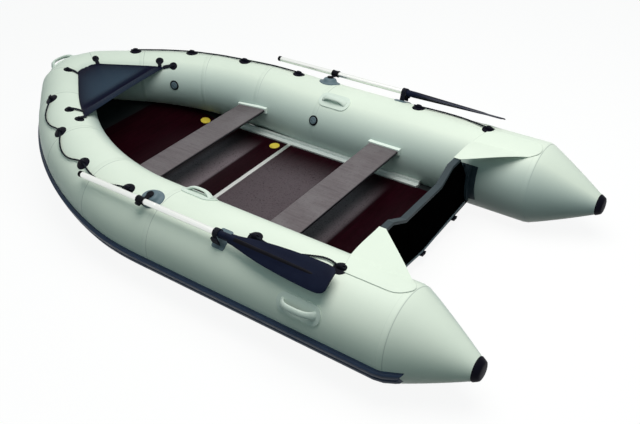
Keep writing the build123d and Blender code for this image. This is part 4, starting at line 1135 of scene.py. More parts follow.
@dataclass
class Lifeline:
    """Rope round the tubes, with the moulded eyes that carry it."""

    diameter: float = 0.010
    lay: float = 0.034
    strands: int = 3
    strand_share: float = 0.52
    loop_radius: float = 0.0086
    loop_centre: float = 0.0110
    loop_leg: float = 0.010
    loop_half_width: float = 0.0125
    loop_half_wall: float = 0.0024
    loop_steps: int = 12
    # profile of the round patch under a loop, one row per point: radius, height
    patch: Pairs = (
        (0.018, -0.003), (0.0360, -0.003), (0.0364, 0.001), (0.0352, 0.0028), (0.0310, 0.0036),
        (0.0285, 0.0037), (0.0255, 0.0052), (0.0200, 0.0060), (0.0110, 0.0064),
    )
    eye_places: dict[str, Pairs] = field(default_factory=lambda: {
        "port": ((2.590, 22.5), (2.231, 23), (1.900, 25), (1.555, 19), (0.765, 11), (0.321, 4)),
        "starboard": ((2.685, 7), (2.330, 8), (1.975, 4), (1.607, 10), (0.765, 11), (0.321, 4)),
    })
    # rope routes, one control point per row: distance along the tube, angle, height over the skin
    routes: dict[str, tuple[Point, ...]] = field(default_factory=lambda: {
        "lifeline_fore_port": (
            (2.618, 22.2, 0.011), (2.566, 22.8, 0.011), (2.520, 31, 0.009), (2.465, 38, 0.008),
            (2.400, 39, 0.008), (2.320, 33, 0.009), (2.255, 23.2, 0.011), (2.207, 23, 0.011),
            (2.150, 32, 0.009), (2.080, 38, 0.008), (2.000, 36, 0.009), (1.924, 25.3, 0.011),
            (1.876, 25, 0.011), (1.825, 29, 0.009), (1.750, 30, 0.008), (1.665, 27, 0.009),
            (1.581, 19.3, 0.011), (1.527, 18.7, 0.011),
        ),
        "lifeline_fore_starboard": (
            (2.713, 6.7, 0.011), (2.659, 7.3, 0.011), (2.580, 10, 0.008), (2.500, 12, 0.008),
            (2.420, 11, 0.008), (2.356, 8.3, 0.011), (2.304, 8, 0.011), (2.230, 9, 0.008),
            (2.140, 9, 0.008), (2.060, 7, 0.008), (2.001, 4.3, 0.011), (1.949, 4.1, 0.011),
            (1.870, 8, 0.008), (1.780, 11, 0.008), (1.700, 11.5, 0.008), (1.633, 10.3, 0.011),
            (1.579, 9.8, 0.011),
        ),
        "lifeline_aft_port": (
            (0.793, 10.8, 0.011), (0.739, 11.3, 0.011), (0.690, 13.5, 0.009), (0.620, 14.5, 0.008),
            (0.550, 12.5, 0.008), (0.490, 7, 0.008), (0.425, 0.8, 0.009), (0.380, 0.4, 0.010),
            (0.347, 3.2, 0.011), (0.293, 4.6, 0.011),
        ),
        "lifeline_aft_starboard": (
            (0.795, 11, 0.011), (0.745, 11.5, 0.011), (0.680, 15, 0.009), (0.590, 17.5, 0.008),
            (0.490, 15.5, 0.008), (0.400, 9, 0.009), (0.345, 4.5, 0.011), (0.292, 4, 0.011),
        ),
    })

    def spline(self, name: str, points: Sequence[Vector], depth: float, smooth: bool) -> Obj:
        """Open curve through or near some points, with a round bevel if it has a depth."""
        data = bpy.data.curves.new(name, "CURVE")
        data.dimensions = "3D"
        data.resolution_u = 18
        line = data.splines.new("NURBS" if smooth else "POLY")
        line.points.add(len(points) - 1)
        for point, place in zip(line.points, points):
            point.co = (*place, 1.0)
        if smooth:
            line.order_u = 3
            line.use_endpoint_u = True
        data.bevel_depth = depth
        data.bevel_resolution = 1
        data.use_fill_caps = depth > 0
        obj = bpy.data.objects.new(name, data)
        bpy.context.scene.collection.objects.link(obj)
        return obj

    def route(self, places: Sequence[Point], side: Side) -> list[Vector]:
        """Points of a rope's smooth line, read from its NURBS spline."""
        curve = self.spline("rope_line", [LINES.skin(*row) for row in places], 0.0, True)
        bpy.context.view_layer.update()
        mesh = bpy.data.meshes.new_from_object(curve)
        line = [Vector((v.co.x, side.value * v.co.y, v.co.z)) for v in mesh.vertices]
        bpy.data.objects.remove(curve)
        bpy.data.meshes.remove(mesh)
        return line

    def twisted(self, name: str, line: Sequence[Vector]) -> Obj:
        """Laid rope of twisted strands along a line."""
        thickness = self.diameter / 2
        strand_radius = thickness * self.strand_share
        offset = thickness - strand_radius
        tracks: list[list[Vector]] = [[] for _ in range(self.strands)]
        run = 0.0
        side = UP
        for i, point in enumerate(line):
            ahead = line[min(i + 1, len(line) - 1)] - line[max(i - 1, 0)]
            ahead.normalize()
            side = (side - ahead * side.dot(ahead)).normalized()
            other = ahead.cross(side)
            if i:
                run += (point - line[i - 1]).length
            for k, track in enumerate(tracks):
                turn = 2 * pi * (run / self.lay + k / self.strands)
                track.append(point + (side * cos(turn) + other * sin(turn)) * offset)
        curves = [self.spline(f"{name}_strand", track, strand_radius, False) for track in tracks]
        Bench.pick(*curves)
        bpy.ops.object.convert(target="MESH")
        return Bench.join(name, *curves)

    def rope(self, node: str, places: Sequence[Point], side: Side) -> None:
        """One rope."""
        line = self.route(places, side)
        obj = self.twisted(f"{node}_rope", line)
        hand_over(obj, ROPE, Body.HULL, [node], angle=50.0)

    def eye(self) -> Obj:
        """Round patch with a moulded loop across its middle, flat on its own plane."""
        disc = Bench.turned("lifeline_eye", self.patch, 36)
        rings = []
        for i in range(self.loop_steps + 1):
            turn = pi * i / self.loop_steps
            legs = self.loop_leg * (1 - sin(turn)) ** 3
            out = Vector((0, cos(turn), sin(turn)))
            rise = self.loop_centre + self.loop_radius * sin(turn) - legs
            centre = Vector((0, self.loop_radius * cos(turn), rise))
            flare = 1.0 + 0.5 * abs(cos(turn)) ** 3
            across = Vector((self.loop_half_width * flare, 0, 0))
            rings.append(ellipse(centre, across, out * self.loop_half_wall * flare, 12))
        loop = Bench.loft("lifeline_loop", rings, Ends.FILLED)
        return Bench.join("lifeline_eye", disc, loop)

    def build(self) -> None:
        """All eyes and all four ropes."""
        master = self.eye()
        for side in Side:
            places = self.eye_places[side.label]
            eyes = [Bench.wrap(Bench.copy(master, "eye"), s, angle) for s, angle in places]
            obj = Bench.on_side(Bench.join("lifeline_eyes_moulded", *eyes), side)
            hand_over(obj, BLACK_RUBBER, Body.HULL, [f"lifeline_eyes_{side.label}"])
            for node in (f"lifeline_fore_{side.label}", f"lifeline_aft_{side.label}"):
                self.rope(node, self.routes[node], side)
        bpy.data.objects.remove(master)


@dataclass
class Dodger:
    """Spray cover stretched over the bow, its hem, and the patches and straps that tie it."""

    aft_x: dict[Side, float] = field(default_factory=lambda: {Side.PORT: 2.256, Side.STARBOARD: 2.366})
    fore_x: float = 2.722
    height: float = 0.4735
    slope: float = 0.0968
    heel: float = 0.0305
    columns: int = 56
    rows: int = 60
    thickness: float = 0.0024
    glue: float = 0.0022
    sag: float = 0.008
    bow: float = 0.012
    hem: float = 0.058
    groove_width: float = 0.046
    groove: float = 0.013
    roll: float = 0.004
    ripple: float = 0.0018
    # painted sheen: its share on the hem, and the length over which it rises on the panel past the fold
    hem_tone: float = 0.34
    sheen_fade: float = 0.05
    hem_spare: float = 0.03
    search_reach: float = 0.9
    search_step: float = 0.01
    search_count: int = 110
    strap_half: float = 0.010
    strap_flare: float = 0.002
    strap_half_wall: float = 0.0022
    strap_lift: float = 0.0105
    strap_drop: float = 0.006
    strap_steps: int = 8
    # profile of a patch and its knob, one row per point: radius, height
    knob: Pairs = (
        (0.012, -0.003), (0.0262, -0.003), (0.0264, 0.001), (0.0250, 0.0030), (0.0180, 0.0042),
        (0.0118, 0.0050), (0.0105, 0.0075), (0.0112, 0.0115), (0.0095, 0.0140), (0.0040, 0.0148),
    )
    # one row per patch: distance along the tube and angle of the knob, then of the strap's end on the cover
    ties: dict[Side, tuple[tuple[float, float, float, float], ...]] = field(default_factory=lambda: {
        Side.PORT: ((2.415, -7, 2.400, -33), (2.297, -17, 2.335, -31), (2.9141, -13, 2.900, -37)),
        Side.STARBOARD: ((2.520, -28, 2.515, -42), (2.425, -38, 2.492, -43.5), (2.9441, -24, 2.930, -43)),
    })

    def edge(self, side: Side, share: float) -> Vector:
        """Point on one tube where the cover's edge lies, from its aft corner to its fore one."""
        middle = sum(self.aft_x.values()) / 2
        x = self.aft_x[side] + (self.fore_x - self.aft_x[side]) * share
        s, y = x, 0.0
        for _ in range(30):
            section = LINES.section(s)
            z = self.height + self.slope * (x - middle) + self.heel * y * side.value
            reach = sqrt(max(section.radius**2 - (z - section.centre.z) ** 2, 0.0))
            point = section.centre - section.outboard() * reach
            y = point.y
            s = min(s + (x + LINES.stern_x - point.x) * 0.9, LINES.middle)
        return Vector((point.x, y * side.value, z))

    def lifted(self, point: Vector) -> Vector:
        """Move a point that is inside a tube out to its skin."""
        port = Vector((point.x, abs(point.y), point.z))
        start = LINES.mitre - self.search_reach
        sections = [LINES.section(start + self.search_step * i) for i in range(self.search_count)]
        here = min(sections, key=lambda section: (section.centre - port).to_2d().length)
        arm = port - here.centre
        arm -= here.along() * arm.dot(here.along())
        short = here.radius + self.glue - arm.length
        if short > 0:
            port += arm.normalized() * short
        return Vector((port.x, port.y if point.y >= 0 else -port.y, port.z))

    def surface(self, across: float, share: float) -> Vector:
        """Point of the cover, across from -1 to 1 and forward from 0 to 1."""
        port, starboard = self.edge(Side.PORT, share), self.edge(Side.STARBOARD, share)
        point = starboard.lerp(port, (across + 1) / 2)
        back = share * (self.fore_x - self.aft_x[Side.PORT])
        flat = 1 - across**2
        dip = self.groove * (1 - abs(across) ** 6) * self.fold(back, self.hem, self.groove_width)
        roll = self.roll * (1 - across**8) * self.fold(back, 0.0, self.hem)
        ripple = self.ripple * sin(9 * across + 14 * share) * flat * share
        point.x += self.bow * flat * max(0.0, 1 - share * 1.6)
        point.z += roll + ripple - dip - self.sag * flat * sin(pi * min(share * 1.15, 1.0))
        return self.lifted(point)

    @staticmethod
    def fold(back: float, start: float, width: float) -> float:
        """Height from nought to one of a rounded fold that starts some way back from the aft edge."""
        return max(0.0, 1 - ((back - start - width / 2) / (width / 2)) ** 2)

    def tone(self, across: float, share: float) -> float:
        """Share of painted sheen at a point: some on the hem, most on the middle of the panel past the fold,
        fading to none at the sides, in the fold and towards the bow.
        """
        back = share * (self.fore_x - self.aft_x[Side.PORT])
        if back < self.hem:
            return self.hem_tone * (1 - abs(across) ** 4)
        past = (back - self.hem - self.groove_width * 0.75) / self.sheen_fade
        centre = (1 - abs(across) ** 3) * max(0.0, 1 - (share / 0.92) ** 3)
        return centre * max(0.0, min(past, 1.0))

    def cover(self) -> Obj:
        """The cover as one curved sheet with a thickness."""
        obj = Bench.grid("bow_dodger_cover", self.columns, self.rows)
        places = [(vertex.co.x, (vertex.co.y + 1) / 2) for vertex in obj.data.vertices]
        # painted sheen, as a share per vertex
        Bench.mark(obj, "stretch", [self.tone(*place) for place in places])
        for vertex, place in zip(obj.data.vertices, places):
            vertex.co = self.surface(*place)
        Bench.edit(obj)
        bpy.ops.mesh.normals_make_consistent(inside=False)
        Bench.clear()
        if obj.data.polygons[0].normal.z < 0:
            obj.data.flip_normals()
        return obj

    def strap(self, start: tuple[float, float], end: tuple[float, float]) -> Obj:
        """Flat strap over the skin from a patch's knob to the cover's edge."""
        rings = []
        for i in range(self.strap_steps + 1):
            t = i / self.strap_steps
            s = start[0] + (end[0] - start[0]) * t
            angle = start[1] + (end[1] - start[1]) * t
            here = LINES.place(s, angle, self.strap_lift - self.strap_drop * t)
            run = LINES.skin(*end) - LINES.skin(*start)
            out = here.col[2].to_3d()
            across = out.cross(run).normalized() * (self.strap_half + self.strap_flare * t)
            rings.append(ellipse(here.translation, across, out * self.strap_half_wall, 10))
        return Bench.loft("dodger_strap", rings, Ends.FILLED)

    def build(self) -> None:
        """The cover, its patches and its straps."""
        cover = self.cover()
        Bench.modify(cover, "SOLIDIFY", thickness=self.thickness, offset=0.0)
        hand_over(cover, NAVY_CLOTH, Body.HULL, ["bow_dodger"], angle=60.0)
        width = (self.edge(Side.PORT, 0.0) - self.edge(Side.STARBOARD, 0.0)).length
        master = Bench.turned("dodger_tie", self.knob, 28)
        patches, straps = [], []
        for side in Side:
            for s, angle, end_s, end_angle in self.ties[side]:
                patches.append(Bench.on_side(Bench.wrap(Bench.copy(master, "tie"), s, angle), side))
                straps.append(Bench.on_side(self.strap((s, angle), (end_s, end_angle)), side))
        bpy.data.objects.remove(master)
        hand_over(Bench.join("dodger_ties_moulded", *patches), BLACK_RUBBER, Body.HULL, ["dodger_ties"])
        hand_over(Bench.join("dodger_straps", *straps), WEBBING, Body.HULL)


@dataclass
class Gusset:
    """Fabric web from the transom's top corner to the tube, glued down by a flap."""

    transom_x: float = 0.329
    corner_y: float = 0.352
    corner_z: float = 0.4335
    root_angle: float = -27.0
    flap_angle: float = 7.5
    fore_x: float = 0.352
    flap_fore_x: float = 0.300
    board_half: float = 0.018
    thickness: float = 0.0026
    web_share: float = 0.58
    line: float = 0.012
    # darkening of the glued edge: a painted shadow line along the flap's edge, through the tube finish's seam
    # tone
    dirt: float = 0.5
    swell: float = 0.010
    root_lift: float = 0.001
    flap_lift: float = 0.0012
    columns: int = 40
    rows: int = 32
    # round aft end of the flap, one row per place: share from the root to the edge, distance along the tube
    tongue: Pairs = (
        (0.00, 0.040), (0.10, 0.022), (0.22, 0.007), (0.38, -0.003), (0.55, -0.002), (0.70, 0.006),
        (0.82, 0.018), (0.92, 0.036), (0.97, 0.054), (1.00, 0.078),
    )

    def aft_end(self, share: float) -> float:
        """Distance along the tube to the flap's aft end, between the rows of its outline."""
        for (low, start), (high, end) in zip(self.tongue, self.tongue[1:]):
            if share <= high:
                break
        return start + (end - start) * (share - low) / (high - low)

    def surface(self, across: float, along: float) -> Vector:
        """Point of the gusset, across from the transom's corner to the flap's edge, along from aft."""
        if across <= self.web_share:
            t = across / self.web_share
            aft = self.transom_x - self.board_half
            aft += (self.tongue[0][1] - aft) * t
            fore = self.transom_x + self.board_half
            fore += (self.fore_x - fore) * t
            s = aft + (fore - aft) * along
            root = LINES.skin(s, self.root_angle, self.root_lift)
            y = self.corner_y + (root.y - self.corner_y) * t
            z = self.corner_z + (root.z - self.corner_z) * t
            z += self.swell * sin(pi * t) * t
            return Vector((s + LINES.stern_x, y, z))
        t = (across - self.web_share) / (1 - self.web_share)
        fore = self.fore_x + (self.flap_fore_x - self.fore_x) * t
        aft = self.aft_end(t)
        angle = self.root_angle + (self.flap_angle - self.root_angle) * t
        return LINES.skin(aft + (fore - aft) * along, angle, self.flap_lift)

    def spread(self, place: float, cells: int) -> float:
        """Share for a grid place from -1 to 1, with a narrow cell along each edge for the glue line."""
        index = round((place + 1) / 2 * cells)
        if index in (0, cells):
            return index / cells
        return self.line + (1 - 2 * self.line) * (index - 1) / (cells - 2)

    def build(self) -> None:
        """Gusset of one side and its twin."""
        obj = Bench.grid("gusset_web", self.columns, self.rows)
        dirt = []
        for vertex in obj.data.vertices:
            across, along = self.spread(vertex.co.x, self.columns), self.spread(vertex.co.y, self.rows)
            # painted shadow line on the glued edge of the flap
            glued = across == 1.0 or (across > self.web_share and along in (0.0, 1.0))
            dirt.append(self.dirt if glued else 0.0)
            vertex.co = self.surface(across, along)
        Bench.mark(obj, "seam", dirt)
        if obj.data.polygons[0].normal.z < 0:
            obj.data.flip_normals()
        Bench.modify(obj, "SOLIDIFY", thickness=self.thickness, offset=1.0)
        for piece in hand_over_pair(obj, TUBE, "gusset", angle=50.0):
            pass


@dataclass
class TransomHem:
    """Flange of the bottom's fabric, turned up and glued along the lower edge of the transom's aft face."""

    face_x: float = 0.315
    half_width: float = 0.452
    keel_z: float = 0.068
    chine_z: float = 0.108
    height: float = 0.013
    thickness: float = 0.0028
    steps: int = 24
    # one row per profile point: share of the thickness, share of the height
    profile: Pairs = ((0.0, 0.0), (-0.8, 0.0), (-1.0, 0.15), (-1.0, 0.85), (-0.8, 1.0), (0.0, 1.0))

    def build(self) -> None:
        """One strip from chine to chine."""
        face = self.face_x + LINES.stern_x
        rings = []
        for i in range(self.steps + 1):
            side = 2 * i / self.steps - 1
            low = self.keel_z + (self.chine_z - self.keel_z) * abs(side)
            y = side * self.half_width
            rings.append([
                Vector((face + x * self.thickness, y, low + z * self.height)) for x, z in self.profile
            ])
        hand_over(Bench.loft("transom_hem", rings, Ends.FILLED), SLATE, Body.HULL)


@dataclass
class Handles:
    """Moulded carry handles: a plate on the tube and a bowed grip."""

    # one row per handle: node, distance along the tube, angle, length and height of the grip
    places: tuple[tuple[str, float, float, float, float], ...] = (
        ("handle_stern", 0.412, 66, 0.172, 0.0395), ("handle_side", 1.242, -28, 0.150, 0.0270),
    )
    nose_angle: float = 54.0
    nose_length: float = 0.100
    nose_height: float = 0.0395
    plate_width: float = 0.096
    margin: float = 0.028
    plate_low: float = -0.004
    plate_top: float = 0.0055
    plate_edge: float = 0.003
    bar_half: float = 0.0125
    bar_flare: float = 0.010
    bar_half_wall: float = 0.0068
    bar_foot: float = 0.004
    bar_root: float = 0.001
    bar_steps: int = 22

    def grip(self, length: float, height: float) -> Obj:
        """Bowed bar whose ends spread into the plate."""
        rings = []
        for i in range(self.bar_steps + 1):
            t = 2 * i / self.bar_steps - 1
            rise = (1 - abs(t) ** 3.2) ** 0.9
            foot = abs(t) ** 5
            centre = Vector((t * length / 2, 0, self.bar_root + height * rise))
            slope = atan2(-3 * t * abs(t) ** 1.2 * height, length / 2 * 1.1)
            up = Vector((-sin(slope), 0, cos(slope)))
            across = Vector((0, self.bar_half + self.bar_flare * foot, 0))
            rings.append(ellipse(centre, across, up * (self.bar_half_wall + self.bar_foot * foot), 14))
        return Bench.loft("handle_grip", rings, Ends.FILLED)

    def handle(self, name: str, length: float, height: float) -> Obj:
        """Plate with a rim and its grip, flat on its own plane."""
        outline = rounded_box(length + 2 * self.margin, self.plate_width, self.plate_width * 0.46, 8)
        plate = Bench.plate("handle_plate", outline, self.plate_low, self.plate_top, self.plate_edge)
        Bench.grid_fill(plate, 4)
        return Bench.join(name, plate, self.grip(length, height))

    def build(self) -> None:
        """All handles of both sides and the one on the nose."""
        for node, s, angle, length, height in self.places:
            handle = self.handle(f"{node}_moulded", length, height)
            hand_over_pair(Bench.wrap(handle, s, angle), PALE_RUBBER, node)
        nose = self.handle("handle_bow_moulded", self.nose_length, self.nose_height)
        Bench.wrap(nose, LINES.middle, self.nose_angle)
        hand_over(nose, PALE_RUBBER, Body.HULL, ["handle_bow"])


@dataclass
class Valves:
    """Inflation valves: a glued ring, a recessed body and a cap with a grip bar."""

    # one row per valve: distance along the tube, angle, side of the boat
    places: tuple[tuple[float, float, Side], ...] = (
        (1.330, -66, Side.PORT), (1.330, -66, Side.STARBOARD), (2.418, -78, Side.STARBOARD),
    )
    bar_turn: float = 35.0
    sides: int = 36
    # profiles of the glued ring and of the cap, one row per point: radius, height
    ring: Pairs = (
        (0.0195, -0.004), (0.0300, -0.004), (0.0303, 0.002), (0.0292, 0.0042), (0.0262, 0.0054),
        (0.0240, 0.0050), (0.0228, 0.0036), (0.0215, 0.0030),
    )
    lid: Pairs = (
        (0.0100, 0.001), (0.0208, 0.001), (0.0210, 0.0068), (0.0198, 0.0088), (0.0166, 0.0096),
        (0.0156, 0.0072), (0.0060, 0.0068),
    )

    def cap(self) -> Obj:
        """Screwed cap with a raised grip bar, flat on its own plane."""
        body = Bench.turned("valve_cap", self.lid, self.sides)
        bar = Bench.plate("valve_bar", rounded_box(0.030, 0.007, 0.0032, 4), 0.006, 0.0110, 0.0015)
        Bench.shift(bar, Matrix.Rotation(radians(self.bar_turn), 4, "Z"))
        return Bench.join("valve_cap", body, bar)

    def spread(self, name: str, master: Obj) -> Obj:
        """Copies of one part at all valves, joined, with the master taken away."""
        copies = [
            Bench.on_side(Bench.wrap(Bench.copy(master, "valve_part"), s, angle), side)
            for s, angle, side in self.places
        ]
        bpy.data.objects.remove(master)
        return Bench.join(name, *copies)

    def build(self) -> None:
        """Collars and caps of all valves."""
        collar = Bench.turned("valve_collar", self.ring, self.sides)
        hand_over(self.spread("valve_collars", collar), BLACK_PLASTIC, Body.HULL, ["valves"])
        hand_over(self.spread("valve_caps", self.cap()), SLATE, Body.HULL)


@dataclass
class Oar:
    """Oar with its oarlock, swivel clamp and keeper."""

    lock_s: float = 1.393
    lock_angle: float = 16.5
    offset: float = 0.057
    height: float = 0.048
    shaft_radius: float = 0.015
    handle_reach: float = 0.446
    grip_length: float = 0.022
    neck_reach: float = 0.500
    root_reach: float = 0.562
    tip_reach: float = 1.100
    blade_roll: float = 12.0
    keeper_s: float = 0.905
    rib_height: float = 0.0120
    rib_end: float = 0.88
    rib_root_half: float = 0.0180
    rib_tip_half: float = 0.0090
    blade_half_wall: float = 0.0038
    blade_cup: float = 0.0035
    spine_lead: float = 0.020
    spine_half: float = 0.0150
    spine_half_taper: float = 0.0070
    spine_lift: float = 0.0185
    spine_lift_taper: float = 0.0125
    spine_steps: int = 12
    shaft_spigot: float = 0.088
    button_x: float = -0.125
    grip_ribs: int = 4
    grip_rib_start: float = 0.002
    grip_rib_pitch: float = 0.004
    strap_foot: float = -0.046
    strap_gap: float = 0.0062
    strap_lean: float = 0.003
    strap_tail: float = 0.008
    strap_steps: int = 14
    pad_angle: float = 29.0
    # rows on the shaft: place past a start, height over the shaft
    shaft_end: Pairs = ((0.0, -0.001), (-0.001, 0.0))
    shaft_joint: Pairs = ((-0.095, 0.0), (-0.096, -0.0008), (-0.099, -0.0008), (-0.100, 0.0), (-0.470, 0.0))
    grip_lip: Pairs = ((-0.0005, 0.0008),)
    grip_rib: Pairs = ((0.0, 0.0009), (0.0012, 0.0009), (0.0018, 0.0002), (0.0030, 0.0002))
    grip_end: Pairs = ((-0.004, 0.0005), (-0.0015, -0.0022), (0.0, -0.0065))
    neck: Pairs = ((0.0, 0.0006), (-0.0015, 0.0038), (-0.012, 0.0040), (-0.016, 0.0030))
    socket: Pairs = ((0.010, 0.0032), (-0.030, 0.0022))
    clamp: Pairs = (
        (-0.0232, 0.0004), (-0.0232, 0.0035), (-0.0215, 0.0050), (-0.015, 0.0050), (-0.0135, 0.0036),
        (0.0135, 0.0036), (0.015, 0.0050), (0.0215, 0.0050), (0.0232, 0.0035), (0.0232, 0.0004),
    )
    # turned details, one row per point: radius, height
    button: Pairs = ((0.002, -0.002), (0.0042, -0.002), (0.0042, 0.0012), (0.0025, 0.0024))
    screw: Pairs = ((0.002, 0.004), (0.0055, 0.004), (0.0055, 0.0085), (0.0035, 0.0098))
    pin_head: Pairs = (
        (0.004, 0.026), (0.0075, 0.026), (0.0075, 0.0286), (0.0185, 0.0288), (0.0192, 0.0310),
        (0.0188, 0.0350), (0.0165, 0.0372), (0.0100, 0.0380), (0.0060, 0.0364),
    )
    # arm of the swivel, one row per section: place outboard, half-width, underside, top
    arm: tuple[tuple[float, float, float, float], ...] = (
        (0.006, 0.0150, 0.0290, 0.0366), (0.020, 0.0146, 0.0288, 0.0366), (0.034, 0.0150, 0.0290, 0.0372),
        (0.042, 0.0160, 0.0300, 0.0400),
    )
    # rubber base, one row per oval: half-length, half-width, height
    pillow: tuple[Point, ...] = (
        (0.030, 0.028, -0.006), (0.066, 0.056, -0.006), (0.0664, 0.0564, 0.002), (0.0650, 0.0550, 0.0045),
        (0.0560, 0.0490, 0.0060), (0.0470, 0.0455, 0.0075), (0.0425, 0.0415, 0.0110),
        (0.0385, 0.0380, 0.0190), (0.0345, 0.0345, 0.0245), (0.0285, 0.0285, 0.0278),
        (0.0200, 0.0200, 0.0280), (0.0125, 0.0125, 0.0262),
    )
    # strap's section, one row per point: place across the band, height over its underside
    band: Pairs = (
        (-0.014, 0), (-0.015, 0.00125), (-0.014, 0.0025), (0.014, 0.0025), (0.015, 0.00125), (0.014, 0),
    )
    # places across the blade, as shares of its half-width
    blade_across: tuple[float, ...] = (
        -1.0, -0.93, -0.75, -0.5, -0.30, -0.16, -0.08, 0.0, 0.08, 0.16, 0.30, 0.5, 0.75, 0.93, 1.0,
    )
    # blade outline, one row per place: share of its length from root to tip, half-width
    outline: Pairs = (
        (0.00, 0.0225), (0.06, 0.0265), (0.14, 0.0335), (0.24, 0.0425), (0.34, 0.0500), (0.44, 0.0555),
        (0.56, 0.0605), (0.70, 0.0650), (0.82, 0.0672), (0.90, 0.0676), (0.945, 0.0655), (0.972, 0.0610),
        (0.990, 0.0530), (1.00, 0.0400),
    )

    def lock(self) -> Matrix:
        """Frame of the oarlock: X forward, Y outboard, Z along the pin."""
        return LINES.place(self.lock_s, self.lock_angle)

    def on_axis(self) -> Matrix:
        """Frame on the oar's axis over the oarlock."""
        return self.lock() @ Matrix.Translation((0, self.offset, self.height))

    def round_bar(self, name: str, profile: Sequence[tuple[float, float]], steps: int = 28) -> Obj:
        """Round bar along local X from rows of place and radius."""
        rings = [circle(Vector((x, 0, 0)), Vector((0, 1, 0)), UP, r, steps) for x, r in profile]
        return Bench.loft(name, rings, Ends.FILLED)

    def on_shaft(self, rows: Pairs, start: float = 0.0) -> list[tuple[float, float]]:
        """Rows of place and radius, from rows of place past a start and height over the shaft."""
        return [(start + x, self.shaft_radius + rise) for x, rise in rows]

    def shaft(self) -> Obj:
        """Drawn tube with a shallow joint ring and a spring button."""
        fore, aft = self.handle_reach - self.grip_length, -self.neck_reach - self.shaft_spigot
        rows = self.on_shaft(self.shaft_end, fore) + self.on_shaft(self.shaft_joint)
        bar = self.round_bar("oar_shaft_drawn", [*rows, (aft, self.shaft_radius)])
        button = Bench.turned("oar_button", self.button, 16)
        Bench.shift(button, Matrix.Translation((self.button_x, 0, self.shaft_radius)))
        return Bench.join("oar_shaft_drawn", bar, button)

    def grip(self) -> Obj:
        """Ribbed plug on the handle end."""
        start = self.handle_reach - self.grip_length
        rows = self.on_shaft(self.grip_lip, start)
        for i in range(self.grip_ribs):
            rows += self.on_shaft(self.grip_rib, start + self.grip_rib_start + i * self.grip_rib_pitch)
        rows += self.on_shaft(self.grip_end, self.handle_reach)
        return self.round_bar("oar_grip_ribbed", rows)

    def blade(self) -> Obj:
        """Blade with a socket neck, a tapering rib and gently cupped sides."""
        rings = []
        length = self.tip_reach - self.root_reach
        for share, half in self.outline:
            x = -self.root_reach - length * share
            rib = self.rib_height * max(0.0, 1 - share / self.rib_end)
            rib_half = self.rib_root_half * (1 - share) + self.rib_tip_half
            top, under = [], []
            for a in self.blade_across:
                y = half * a
                ridge = max(0.0, 1 - (y / rib_half) ** 2) ** 0.7 * rib
                edge = self.blade_half_wall * (1 - 0.75 * abs(a) ** 6)
                cup = -self.blade_cup * (a * a) * share
                top.append(Vector((x, y, cup + edge + ridge * 0.85)))
                under.append(Vector((x, y, cup - edge - ridge * 0.55)))
            rings.append(top + under[::-1])
        blade = Bench.loft("oar_blade_moulded", rings, Ends.FILLED)
        rows = self.on_shaft(self.neck, -self.neck_reach) + self.on_shaft(self.socket, -self.root_reach)
        neck = self.round_bar("oar_neck", rows)
        return Bench.join("oar_blade_moulded", blade, neck)

    def spine(self) -> Obj:
        """Tapering black rib along the upper face of the blade, whose black also paints the shade along the
        blade's rib.
        """
        rings = []
        length = self.tip_reach - self.root_reach
        for i in range(self.spine_steps + 1):
            share = i / self.spine_steps
            x = -self.root_reach + self.spine_lead - (length * self.rib_end + self.spine_lead) * share
            half = self.spine_half - self.spine_half_taper * share
            lift = self.spine_lift - self.spine_lift_taper * share - 0.004 * max(0.0, share - 0.9) * 10
            rings.append(ellipse(Vector((x, 0, 0)), Vector((0, half, 0)), Vector((0, 0, lift)), 16))
        return Bench.loft("oar_spine_moulded", rings, Ends.FILLED)

    def base(self) -> Obj:
        """Oval flange with a domed pillow, flat on its own plane."""
        rings = []
        for a, b, z in self.pillow:
            rings.append(ellipse(Vector((0, 0, z)), Vector((a, 0, 0)), Vector((0, b, 0)), 44))
        return Bench.loft("oarlock_base_moulded", rings, Ends.POLED)

    def swivel(self) -> Obj:
        """Pin head, arm and split clamp round the shaft, in the oarlock's frame."""
        head = Bench.turned("oarlock_head", self.pin_head, 32)
        rings = []
        for y, half, low, high in self.arm:
            centre = Vector((0, y, (low + high) / 2))
            rings.append(ellipse(centre, Vector((half, 0, 0)), Vector((0, 0, (high - low) / 2)), 20))
        arm = Bench.loft("oarlock_arm", rings, Ends.FILLED)
        r = self.shaft_radius
        ring = self.round_bar("oarlock_clamp", self.on_shaft(self.clamp), 36)
        ear = Bench.plate("oarlock_ear", rounded_box(0.030, 0.016, 0.005, 4), -0.005, 0.005, 0.0015)
        Bench.shift(ear, Matrix.Translation((0, r + 0.009, 0)))
        screw = Bench.turned("oarlock_screw", self.screw, 12)
        Bench.shift(screw, Matrix.Translation((0, r + 0.011, 0)))
        place = Matrix.Translation((0, self.offset, self.height))
        for part in (ring, ear, screw):
            Bench.shift(part, place)
        return Bench.join("oarlock_swivel_moulded", head, arm, ring, ear, screw)

